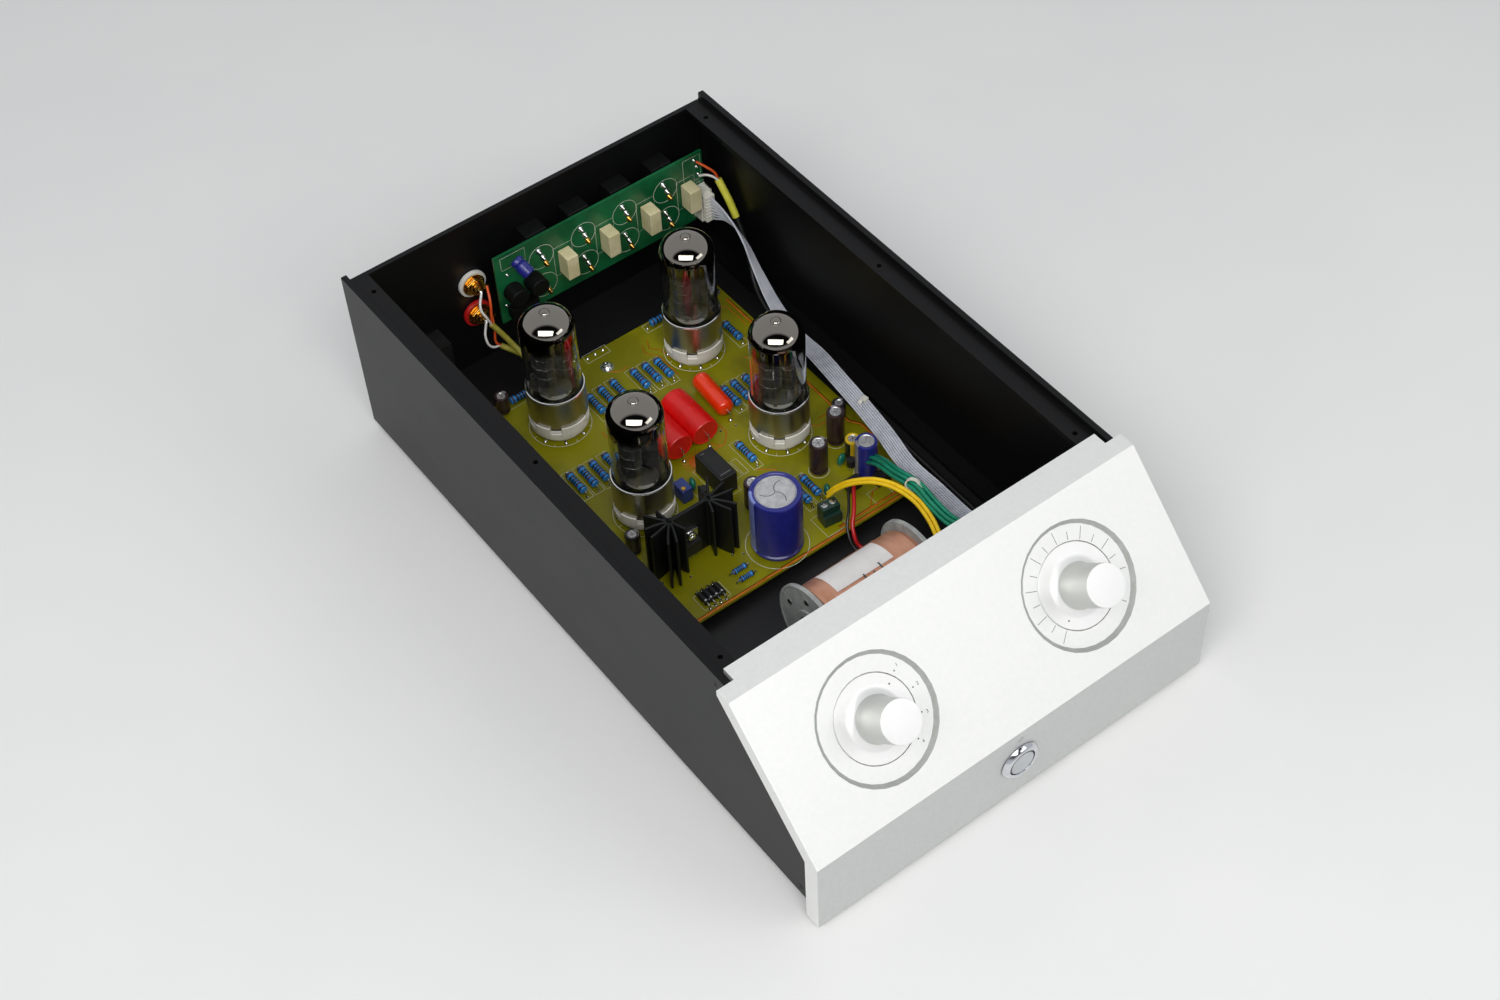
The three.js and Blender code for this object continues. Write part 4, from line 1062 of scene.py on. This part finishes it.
def electrolytic(radius, height, body, stripe, facing, curved=False, rim_finish=None, crimp=0.5):
    """A can standing on the z = 0 plane, its stripe facing a bearing, its vent scored straight or curved."""
    r, h = radius, height
    outline = [
        [0, 0.3], [r - 1.1, 0.3], [r - 0.4, 0.7], [r - 0.1, 1.4], [r, 2.2], [r, 3], [r - crimp, 3.9],
        [r, 4.8], [r, h - 1.2], [r - 0.12, h - 0.6], [r - 0.5, h - 0.12], [r - 1, h], [r - 1.5, h - 0.1],
        [r - 1.75, h - 0.35], [r - 2, h - 0.6], [r - 3.1, h - 0.6], [0, h - 0.6],
    ]
    can = finished_in(ease(rounded(outline, 64), 0, angle=35), body, stripe, can_top, rim_finish or body)
    rim = r - (3.2 if r > 8 else 1.78)

    def on_stripe(at, normal):
        bearing = math.degrees(math.atan2(at.x, at.y)) - facing
        return abs((bearing + 180) % 360 - 180) < 22 and at.xy.length > r - 1.9

    painted(can, 3, lambda at, normal: at.z > h - 1.4 and at.xy.length > rim)
    painted(can, 1, on_stripe)
    painted(can, 2, lambda at, normal: at.z > h - 2 and at.xy.length < rim)
    if curved:
        shares = (0.02, 0.25, 0.5, 0.75, 1)
        marks = [[clockwise(rim * 0.78 * s, turn + 55 * s) for s in shares] for turn in (0, 120, 240)]
    else:
        reach, turns = rim * 0.8, (facing, facing + 60, facing + 120)
        marks = [[clockwise(reach, turn), clockwise(reach, turn + 180)] for turn in turns]
    vent = lines(marks, 0.45 if r > 8 else 0.32, 0.07, score)
    placed(vent, mm(0, 0, (h - 0.6)))
    return joined(can, vent)


reservoir = electrolytic(14.2, 42, blue_sleeve, pale_blue, -70, True, crimp=1.2)
base_ring = lines([ring(10.6, count=64)], 0.6, 0.12, can_top, closed=True)
placed(base_ring, mm(0, 0, 41.4))
reservoir = on_board(joined(reservoir, base_ring), -2, -224)
complete(reservoir, "blue_reservoir_can", "capacitor_sleeve", "reservoir_capacitor")
can_places = (
    ("brown_can_rear", (67, -187), 5, 24.5, brown_sleeve, grey_stripe, 20),
    ("brown_can_front", (46.5, -198), 5.2, 23, brown_sleeve, grey_stripe, 75),
    ("yellow_can", (67.3, -201.6), 4.3, 15, black_sleeve, yellow_stripe, 215, False, yellow_stripe),
    ("violet_can", (66, -215), 6.2, 25.5, blue_sleeve, grey_stripe, 285, True),
    ("tall_can", (3.4, -196), 5, 20, brown_sleeve, grey_stripe, 90),
    ("left_rear_can", (-64, -52), 4.2, 13, brown_sleeve, grey_stripe, 60),
    ("left_front_can", (-65.5, -181), 4.2, 15, black_sleeve, grey_stripe, 80),
    ("right_edge_can", (79.5, -174), 4, 12, black_sleeve, grey_stripe, 60),
)
for name, place, *can in can_places:
    complete(on_board(electrolytic(*can), *place), name, "capacitor_sleeve")

# Heat sink
# A black-anodised extruded sink, a web with a fan of wavy fins at each end, standing on the board, with a
# power transistor screwed flat on the front of the web.
sink_black = Finish("sink_anodised", specular_ior_level=0.35)
extruded = {"bump": 0.00003, "bump_scale": 2400, "stretch": (1, 1, 0.06)}
sink_black.mottle(200, (11, 12, 12), (16, 17, 17), (0.42, 0.56), **extruded)
sink_low, sink_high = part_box("heatsink")
sink_height = (sink_high.z - sink_low.z) / MM
web_half, web_wall, sink_foot = 12.2, 2.2, 0.3
sink_top = sink_foot + sink_height
fins = (
    (165, 15, -14), (137, 16, 12), (106, 14.5, -10), (70, 14, 12), (40, 14.5, -12), (12, 10, -8),
    (196, 10, 8),
)


def fin(bearing, length, sweep):
    """One upright fin that leaves the web's end at a bearing and curls by a sweep."""
    steps = 6
    first_vertex(0, 0, sink_foot)
    for step in range(steps):
        draw_out(*clockwise(length / steps, bearing + sweep * step / steps), 0)
    bpy.ops.mesh.select_all(action="SELECT")
    draw_out(0, 0, sink_height)
    bpy.ops.object.mode_set(mode="OBJECT")
    return ease(applied(bpy.context.object, "SOLIDIFY", thickness=1.5 * MM, offset=0), 0.5, 3)


parts = [block((-web_half, -web_wall / 2, sink_foot), (web_half, web_wall / 2, sink_top), 0.4)]
for side in (-1, 1):
    hub = rounded([[0, sink_foot], [2.1, sink_foot], [2.1, sink_top], [0, sink_top]], 20)
    fan = [fin(side * bearing, length, side * sweep) for bearing, length, sweep in fins]
    parts += [placed(part, mm(side * web_half, 0)) for part in (*fan, ease(hub, 0.3))]
for part in parts:
    finished_in(part, sink_black)
sink = on_board(joined(*parts), -42.3, -202)
complete(sink, "finned_sink", "heatsink_black", "heatsink")

epoxy = Finish("black_epoxy")
epoxy.mottle(700, (16, 16, 17), (24, 24, 25), (0.4, 0.55), bump=0.00003, bump_scale=2400)
tab = finished_in(block((-5, -1.3, 4), (5, -0.1, 19.5), 0.15), tin)
case = finished_in(block((-5, -4.6, 4), (5, -1.3, 13), 0.4), epoxy)
legs = [finished_in(block((x - 0.4, -3.2, 0), (x + 0.4, -2.7, 4.4), 0.1), tin) for x in (-2.5, 0, 2.5)]
head = placed(socket_screw(2.7, 1.9, 1.3, tin), mm(0, -1.3, 16.4), (90, 0, 0))
device = joined(tab, case, *legs, head)
complete(on_board(device, -44, -203.1, 3), "power_transistor", "black_plastic")

# Relay, trimmer and small parts
# A black sealed relay, a blue trimmer with a brass screw, a row of rectifier diodes, dipped capacitors,
# small transistors, a green screw terminal and two black lead headers, all soldered to the board.
relay_case = finished_in(block((-5.5, -12, 0.3), (5.5, 12, 14.6), 0.5, 3), epoxy)
relay_top = finished_in(block((-4.3, -10.6, 14.3), (4.3, 10.6, 15), 0.3), epoxy)
nub = finished_in(ease(rounded([[0, 0], [0.9, 0], [0.7, 0.5], [0, 0.5]], 16), 0.1), epoxy)
placed(nub, mm(-3, 8.4, 14.9))
relay_mark = lines([[[-3.4, -9], [3.4, -9]], [[-3.4, 9.4], [-1, 9.4]]], 0.35, 0.05, grey_stripe)
placed(relay_mark, mm(0, 0, 15))
relay = joined(relay_case, relay_top, nub, relay_mark)
complete(on_board(relay, -1.5, -169), "sealed_relay", "black_plastic", "mute_relay")

trimmer_blue = sleeve("trimmer_blue", (14, 40, 110), (22, 52, 128))
brass = Finish("brass", metallic=1.0).mottle(400, (186, 146, 66), (212, 172, 92), (0.2, 0.32))
box = finished_in(block((-3.2, -4.8, 0.5), (3.2, 4.8, 10.2), 0.35), trimmer_blue)
screw = finished_in(ease(rounded([[0, 10.1], [1.3, 10.1], [1.3, 11.2], [0, 11.2]], 20), 0.15), brass)
screw = placed(screw, mm(-1.4, -2.8))
complete(on_board(joined(box, screw), -22.5, -167), "trimmer", "main_laminate")

green_dip = sleeve("green_dip", (18, 92, 74), (28, 116, 92))


def leg(foot, top, height, radius):
    """A tinned wire leg from the board up into a part, between two places along x."""
    return finished_in(swept([mm(foot, 0), mm(top, 0, height)], radius, sides=1, smooth=False), tin)


parts = []
for x, y, turn in ((-15.5, -166, 70), (58.2, -203.2, 20), (38.5, -215.5, 60), (75, -146, 10)):
    drop = rounded([[0, 1.4], [1.6, 1.7], [3.1, 3.2], [3.6, 5.2], [3.1, 7.2], [1.6, 8.7], [0, 9]], 24)
    drop.scale = (1, 0.5, 1)
    finished_in(placed(ease(drop, 0, angle=60)), green_dip)
    legs = [leg(foot, foot, 2.6, 0.3) for foot in (-1.6, 1.6)]
    parts.append(placed(joined(drop, *legs), mm(x, y), (0, 0, turn)))
complete(on_board(joined(*parts)), "dipped_capacitors", "main_laminate")

parts = []
for x, y, turn in ((60.5, -208.5, 30), (-14, -174.5, -20), (79, -121, 90)):
    round_case = rounded([[0, 3.5], [2.4, 3.5], [2.4, 8.4], [0, 8.4]], 32)
    ease(finished_in(round_case, epoxy), 0.2)
    legs = [leg(foot, foot * 0.6, 3.8, 0.28) for foot in (-2, 0, 2)]
    parts.append(placed(joined(round_case, *legs), mm(x, y), (0, 0, turn)))
complete(on_board(joined(*parts)), "small_transistors", "black_plastic")

parts = []
for x in (-56.5, -53, -49.5, -46):
    diode = rounded([[0, -3.8], [1.75, -3.8], *[[1.75, z] for z in (2.1, 3.1, 3.8)], [0, 3.8]], 24)
    finished_in(ease(diode, 0.2), epoxy, tin)
    painted(diode, 1, lambda at, normal: 2.1 < at.z < 3.1)
    parts.append(placed(diode, mm(x, 0, 2.2), (90, 0, 0)))
    for sign in (-1, 1):
        route = [(x, sign * 3.5, 2.2), (x, sign * 5.8, 2.2), (x, sign * 6.2, 1.7), (x, sign * 6.2, 0)]
        wire = swept([mm(*place) for place in route], 0.45, sides=2, smooth=False)
        parts += [finished_in(wire, tin), placed(solder_joint(1.1, 1.0), mm(x, sign * 6.2))]
complete(on_board(joined(*parts), 0, -231.2), "rectifier_diodes", "black_plastic")

terminal_green = Finish("terminal_green", coat_weight=0.2)
terminal_green.mottle(300, (10, 42, 34), (16, 54, 44), (0.35, 0.5), bump=0.00004)
parts = [block((-5.4, -4.2, 0.3), (5.4, 4.2, 8), 0.4), block((-5.4, -2.4, 7.6), (5.4, 4.2, 12.6), 0.5)]
parts += [block((x - 0.3, -4.6, 1), (x + 0.3, -4.0, 7.6), 0.1) for x in (-5, 0, 5)]
for part in parts:
    finished_in(part, terminal_green)
for x in (-2.6, 2.6):
    head = finished_in(ease(rounded([[0, 12.2], [1.8, 12.2], [1.8, 12.8], [0, 12.9]], 24), 0.1), tin)
    parts.append(placed(head, mm(x, 1)))
    parts.append(finished_in(block((x - 1.6, 0.8, 12.8), (x + 1.6, 1.2, 12.98), 0), score))
complete(on_board(joined(*parts), 29.2, -229.4, turn=(0, 0, -8)), "screw_terminal", "main_laminate")
parts = [block((x - 4.5, y - 2.8, 0.3), (x + 4.5, y + 2.8, 7), 0.3) for x, y in ((53, -219.6), (68, -226))]
for part in parts:
    finished_in(part, epoxy)
complete(on_board(joined(*parts)), "lead_headers", "main_laminate")

# Input board
# A green upright board behind the rear panel, with a cream reed relay for each input, white outlines round
# the jacks' soldered tags, a small lying can, two chokes and a white socket for the ribbon.
green_mask = Finish("green_board", coat_weight=0.3, coat_roughness=0.2)
cloud = green_mask.noise(40, 3.0)
pour = green_mask.node("ShaderNodeClamp", None, {0: (cloud - 0.42) * 6})
green_mask.feed("Base Color", green_mask.blend(pour, shade(6, 84, 46), shade(18, 104, 60)))
green_mask.feed("Roughness", 0.3 + cloud * 0.12)
green_mask.raise_by(green_mask.noise(900, 2.0), 0.00002)
board = finished_in(fine_copy("input_board", 0.12), green_mask)
complete(board, "green_input_board", "input_laminate", "input_board")

input_low, input_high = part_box("input_board")
input_face = input_low.y


def on_input(part, x=0, z=0, turn=(90, 0, 0)):
    """Stands a part on the input board's face, z out of it, right of the middle and above the lower edge."""
    return placed(part, Vector((x * MM, input_face, lower_edge + z * MM)), turn)


jack_x = [-7 + 28.6 * i for i in range(4)]
jack_z = (48.5, 70)
input_rings = [ring(8.2, x, z) for x in jack_x for z in jack_z]
input_boxes = [frame_round(x + 14.2, 60.5, 12.5, 21) for x in jack_x]
input_boxes += [frame_round(101.5, 51, 8.4, 25), frame_round(-25, 79, 16, 9), frame_round(98, 75, 12, 18)]
outlines = joined(
    lines(input_rings, 0.32, 0.06, paint, closed=True),
    lines(input_boxes, 0.28, 0.06, paint, closed=True),
)
placed(outlines, Vector((0, input_face, lower_edge)), (90, 0, 0))
complete(outlines, "input_board_outlines", "input_laminate")

gold = Finish("gold_plate", metallic=1.0).mottle(300, (202, 152, 66), (226, 180, 96), (0.16, 0.28))
parts = []
for x in jack_x:
    for z in jack_z:
        for dx, dz, finish in ((-1.2, 4.6, tin), (1, -1.2, tin), (2.4, -6.2, gold)):
            tag = rounded([[0, 0], [1.7, 0], [1.5, 0.5], [0.9, 1.3], [0.8, 2.2], [0.3, 2.7], [0, 2.7]], 14)
            tag.scale = (1, 1.35, 1)
            parts.append(on_input(finished_in(ease(tag, 0, angle=50), finish), x + dx, z + dz))
for x, z in ((100, 81), (101.5, 75.5), (102.2, 69.5), (-30, 70), (-17.5, 71), (-33, 48), (-20, 45)):
    parts.append(on_input(solder_joint(1.2, 1.2), x, z))
complete(joined(*parts), "jack_tags", "plated_steel")

cream = Finish("cream_relay", specular_ior_level=0.4)
cream.mottle(120, (206, 196, 150), (222, 213, 172), (0.42, 0.55), bump=0.00002, bump_scale=1500)
dull_print = Finish("dull_print").mottle(2000, (150, 140, 104), (172, 162, 124), (0.5, 0.6))
for index in range(1, 5):
    low, high = (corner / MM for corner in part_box(f"input_relay_{index}"))
    case = finished_in(block(low, high, 0.45, 3), cream)
    rib = block((low.x + 1.2, low.y + 1, high.z - 0.05), (high.x - 1.2, high.y - 1.4, high.z + 0.12), 0.1)
    parts = [case, finished_in(rib, cream)]
    for step in (0, 1.3, 2.6, 3.9):
        start = (high.x - 0.02, low.y + 1.6 + step, low.z + 3)
        end = (high.x + 0.06, low.y + 2 + step, high.z - 3 - step)
        parts.append(finished_in(block(start, end, 0), dull_print))
    complete(joined(*parts), f"reed_relay_{index}", "relay_cream", f"input_relay_{index}")

lying = placed(electrolytic(4, 12, blue_sleeve, grey_stripe, 120, crimp=0.9), turn=(127, 0, 22))
placed(lying, Vector((0, input_face, lower_edge)) + mm(-26, -3.8, 83))
complete(lying, "lying_can", "capacitor_sleeve")
jack_plastic = Finish("jack_plastic", specular_ior_level=0.2)
jack_plastic.mottle(300, (7, 8, 8), (10, 11, 11), (0.5, 0.6), bump=0.00003)
parts = []
for x in (-28.6, -15):
    choke = rounded([[0, 0.4], [5.8, 0.4], [5.8, 9.5], [5.2, 10], [0, 10]], 40)
    parts.append(on_input(finished_in(ease(choke, 0.3), jack_plastic), x, 58))
parts.append(on_input(finished_in(block((-33, 40, 0.3), (-15, 48, 6), 0.4), jack_plastic)))
complete(joined(*parts), "input_chokes", "black_plastic")

white_nylon = Finish("white_nylon", specular_ior_level=0.4)
white_nylon.mottle(300, (214, 212, 200), (228, 226, 216), (0.4, 0.55))
shell = [block((-2.8, -9.8, 3), (2.8, 9.8, 11.4), 0.3)]
for low, high in (
    ((-4, -11, 0.3), (4, 11, 1.6)), ((-4, -11, 1.2), (-3, 11, 8)), ((3, -11, 1.2), (4, 11, 8)),
    ((-4, -11, 1.2), (4, -10, 8)), ((-4, 10, 1.2), (4, 11, 8)),
):
    shell.append(block(low, high, 0.2))
shell += [block((-3.2, -9.2 + 2.45 * i, 9), (3.2, -7.6 + 2.45 * i, 11.9), 0.2) for i in range(8)]
for part in shell:
    finished_in(part, white_nylon)
complete(on_input(joined(*shell), 101.5, 51), "ribbon_connector", "input_laminate")

# Input and output jacks
# Paired phono jacks in black housings soldered to the input board, their gold barrels through the rear
# panel, and two single gold jacks held by a nut, with a white and a red washer.
white_washer = Finish("white_washer").mottle(300, (206, 204, 196), (222, 220, 214), (0.4, 0.55))
red_washer = Finish("red_washer", coat_weight=0.2).mottle(300, (176, 16, 18), (196, 30, 28), (0.35, 0.5))


def barrel(collar):
    """A phono jack's barrel rising from the z = 0 plane, its foot and its mouth lined in a colour."""
    shaft = rounded(
        [
            [1.7, 2], [1.7, 8.9], [2, 9.2], [3.6, 9.2], [3.6, 9.5], [4, 9.5], [4.15, 9.3], [4.15, 4],
            [3.95, 3.7], [4.15, 3.4], [4.15, -3.4], [0, -3.4], [0, 2], [1.7, 2],
        ],
        48,
    )
    ease(finished_in(shaft, gold), 0.08)
    insert = rounded([[1.75, 3], [3.5, 3], [3.5, 9.25], [1.75, 9.25], [1.75, 3]], 40)
    ring_part = rounded([[4.2, 0.1], [5.8, 0.1], [5.8, 1.4], [5.5, 1.8], [4.2, 1.8], [4.2, 0.1]], 48)
    return joined(shaft, finished_in(ease(insert, 0.1), collar), finished_in(ease(ring_part, 0.1), collar))


for index, x in enumerate(jack_x, 1):
    low, high = (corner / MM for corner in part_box(f"input_jack_pair_{index}"))
    back = block((low.x, input_high.y / MM + 0.3, low.z), (high.x, rear_face / MM - 3.3, high.z), 0.6, 3)
    parts = [finished_in(back, jack_plastic)]
    for z, collar in zip(jack_z, (red_washer, white_washer)):
        parts.append(placed(barrel(collar), spot(x, 0, z), (-90, 0, 0)))
    for z in (59.2, 84):
        parts.append(placed(socket_screw(1.9, 1.1, 0.9, black_oxide), spot(x, 0, z), (-90, 0, 0)))
    complete(joined(*parts), f"jack_pair_{index}", "gold_plate", f"input_jack_pair_{index}")

for side, z, collar in (("left", 65, white_washer), ("right", 42, red_washer)):
    washer = rounded([[4.4, -3.4], [8.6, -3.4], [8.6, -5.2], [8.2, -5.6], [4.4, -5.6], [4.4, -3.4]], 56)
    disc = rounded([[4.2, -5.7], [6.9, -5.7], [6.9, -6.3], [4.2, -6.3], [4.2, -5.7]], 48)
    nut = ease(placed(hexagon(6.1, 2.2, -7.5)), 0.4, 3)
    steps = [[4.1, -3], [4.1, -9.4], [2.9, -9.6], [2.9, -11.4], [1.6, -11.6], [1.6, -13.6]]
    neck = rounded([[0, -3], *steps, [0, -13.8]], 40)
    flange = rounded([[4.2, 0.3], [6.8, 0.3], [6.8, 1.6], [6.4, 2], [4.2, 2], [4.2, 0.3]], 48)
    tag = placed(block((2, -1.6, -9), (9.6, 1.6, -8.6), 0.15), turn=(0, 0, 25))
    parts = [
        finished_in(ease(washer, 0.15), collar), finished_in(ease(disc, 0.1), gold), finished_in(nut, gold),
        finished_in(ease(neck, 0.15), gold), finished_in(ease(flange, 0.1), collar), finished_in(tag, gold),
        barrel(collar), placed(solder_joint(1.5, 1.7), mm(0, 0, -13.4), (180, 0, 0)),
    ]
    jack = placed(joined(*parts), spot(-46.3, 0, z), (-90, 0, 0))
    complete(jack, f"{side}_output_jack", "gold_plate", f"output_jack_{side}")

# Mains inlet
# A moulded black appliance inlet with three nickel blade pins, set in a hole of the rear panel and fixed to
# it from outside by two zinc-plated screws.
moulded = Finish("moulded_black")
moulded.mottle(300, (20, 20, 21), (30, 30, 31), (0.45, 0.6), bump=0.00003, bump_scale=1200)
inlet = finished_in(fine_copy("mains_inlet", 0.4), moulded)
inlet_x, inlet_z, screw_reach = -85, 34, 20
screw_places = [spot(inlet_x + reach, 3.3, inlet_z) for reach in (-screw_reach, screw_reach)]
screws = copies(socket_screw(3, 1.0, 1.3, zinc), screw_places, (-90, 0, 0))
pins = [
    finished_in(block((x - 1.1, -15.4, z - 2.1), (x + 1.1, -0.6, z + 2.1), 0.4), nickel)
    for x, z in ((-7, -2.5), (0, 2.5), (7, -2.5))
]
for pin in pins:
    placed(pin, spot(inlet_x, 0, inlet_z))
complete(joined(inlet, *screws, *pins), "appliance_inlet", "black_plastic", "mains_inlet")

# Leads
# Stranded leads in coloured insulation between the boards, the controls, the jacks and the transformer: a
# grey ribbon of eight, a screened cable in black, sleeved pairs to the output jacks, and tied bundles.
def insulation(name, first, second):
    """Smooth lead insulation between two colours."""
    finish = Finish(name, coat_weight=0.25, coat_roughness=0.25)
    return finish.mottle(150, first, second, (0.32, 0.46), bump=0.00003, bump_scale=700)


grey_pvc = insulation("grey_insulation", (186, 190, 200), (206, 209, 217))
black_pvc = insulation("black_insulation", (16, 16, 17), (28, 28, 29))
green_pvc = insulation("green_insulation", (8, 124, 92), (16, 146, 112))
yellow_pvc = insulation("yellow_insulation", (236, 192, 10), (246, 208, 24))
red_pvc = insulation("red_insulation", (176, 16, 20), (200, 28, 30))
white_pvc = insulation("white_insulation", (214, 212, 206), (230, 228, 224))
orange_pvc = insulation("orange_insulation", (206, 70, 24), (224, 92, 36))
olive_tube = insulation("olive_sleeving", (150, 144, 50), (176, 168, 70))
yellow_tube = insulation("yellow_sleeving", (206, 204, 60), (222, 218, 84))

ribbon_route = [
    (102, -28, 52), (102.5, -42, 54), (102.5, -56, 49), (101.5, -72, 34), (98, -92, 25), (93.5, -115, 24),
    (91.5, -140, 26), (88, -165, 28), (85, -188, 29), (81, -213, 30), (76, -238, 31), (75, -260, 33),
    (72, -282, 38), (68, -302, 45), (57, -317, 51), (38, -329, 59), (12, -340, 68), (-22, -350, 72),
    (-46, -355, 68),
]
signal_route = [
    (110.5, -36, 54), (110.5, -45, 40), (109, -53, 26), (105, -64, 14), (101, -85, 7.5), (99, -130, 6.5),
    (98, -190, 6.5), (97, -250, 7), (92, -300, 16), (80, -335, 38), (70, -347, 50),
]
left_route = [(-47, -21, 46), (-41, -24, 34), (-36, -34, 22), (-35, -46, 16), (-35, -53, 13.6)]
right_route = [(-44, -22, 28), (-36, -30, 22), (-29, -42, 16), (-28, -53, 13.6)]
volume_route = [
    (67, -212, 15.5), (66, -219, 26), (63, -232, 37), (60, -248, 45), (60, -265, 50), (58, -281, 51),
    (57, -296, 53), (58, -318, 64), (61, -345, 67),
]
heater_route = [
    (33, -223, 24), (36, -227, 31), (42, -236, 40), (49, -250, 47), (53, -266, 49), (51, -283, 51),
    (46, -298, 51.5), (41.5, -308, 51), (37.5, -316, 49.5),
]
supply_route = [
    (53, -219, 14.5), (50, -223, 22), (44, -230, 26), (37, -239, 25), (30, -247, 18), (30, -255, 11),
    (37, -264, 12), (39, -276, 18), (38.5, -285, 24),
]


def beside(route, across, up, upright=0):
    """A route shifted sideways and up in millimetres, turned on edge at first over a number of its places."""
    shifted = []
    for index, place in enumerate(route):
        before = Vector(route[max(index - 1, 0)])
        after = Vector(route[min(index + 1, len(route) - 1)])
        along = (after - before).normalized()
        side = along.cross(Vector((0, 0, 1)))
        side = side.normalized() if side.length > 0.2 else Vector((1, 0, 0))
        lift = side.cross(along)
        tilt = math.pi / 2 * max(0, 1 - index / upright) if upright else 0
        fanned = across * (1 + 0.7 * max(0, 1 - index)) if upright else across
        shift = side * fanned * math.cos(tilt) + lift * (up + fanned * math.sin(tilt))
        shifted.append(spot(*(Vector(place) + shift)))
    return shifted


def bundle(name, slot, node, strands):
    """Leads of (route, across, up, radius, finish) made one piece, for a frame node."""
    parts = []
    for route, across, up, radius, finish, *upright in strands:
        parts.append(finished_in(swept(beside(route, across, up, *upright), radius, sides=3), finish))
    complete(joined(*parts), name, slot, node)


bundle(
    "ribbon_of_eight", "ribbon_grey", "ribbon_cable",
    [(ribbon_route, (index - 3.5) * 1.36, 0, 0.62, grey_pvc, 6) for index in range(8)],
)
bundle(
    "screened_cable", "lead_black", "input_signal_cable",
    [
        (signal_route, 0, 0, 1.8, black_pvc),
        ([(108.8, -26.5, 69), (110.3, -35, 56), (110.5, -40, 48)], 0, 0, 2.3, yellow_tube),
        ([(100, -18, 81.5), (104, -22, 78), (108, -25, 73), (109, -27, 67)], 0, 0, 0.75, orange_pvc),
        ([(101.5, -18, 70), (104, -24, 73), (107.6, -27, 70), (109.5, -29, 64)], 0, 0, 0.75, white_pvc),
    ],
)
for side, route, tag_z in (("left", left_route, 65), ("right", right_route, 42)):
    live = [(-46.6, -14, tag_z), (-51, -19, tag_z - 6), (-49.5, -21.5, tag_z - 12), route[0]]
    screen = [(-42, -13, tag_z + 2), (-44.5, -19, tag_z - 3), (-46, -21, tag_z - 11), route[0]]
    bundle(
        f"output_pair_{side}", "lead_olive", f"output_lead_{side}",
        [
            (route, 0, 0, 1.7, olive_tube), (live, 0, 0, 0.75, white_pvc), (screen, 0, 0, 0.75, orange_pvc),
        ],
    )
bundle(
    "volume_leads_green", "lead_green", "volume_leads",
    [
        (volume_route, -1.6, 0.9, 1.15, green_pvc), (volume_route, 1.2, 1.2, 1.15, green_pvc),
        (volume_route, -0.2, -1.4, 1.15, green_pvc), (volume_route[1:], 2.6, -0.9, 1.15, green_pvc),
    ],
)
bundle(
    "heater_leads_yellow", "lead_yellow", "heater_leads",
    [(heater_route, -1.15, 0.2, 1.1, yellow_pvc), (heater_route, 1.15, -0.2, 1.1, yellow_pvc)],
)
bundle(
    "supply_leads", "lead_red", "high_voltage_leads",
    [(supply_route, -1.0, 0, 1.15, red_pvc), (supply_route, 1.8, -0.6, 0.8, black_pvc)],
)


def cable_tie(place, radius, turn):
    """A thin nylon strap round a bundle, with its square lock."""
    outer = radius + 0.8
    strap = rounded([[radius, -1.1], [outer, -1.1], [outer, 1.1], [radius, 1.1], [radius, -1.1]], 32)
    lock = block((radius - 0.3, -1.8, -1.7), (radius + 3.2, 1.8, 1.7), 0.4)
    return placed(finished_in(joined(ease(strap, 0.15), lock), white_nylon), spot(*place), turn)


tie_places = (((58.6, -263, 49.6), 3.6, (80, 0, -60)), ((86, -186, 29.2), 1.2, (90, 0, 10)))
ties = joined(*[cable_tie(*tie) for tie in tie_places])
complete(ties, "cable_ties", "ribbon_grey")
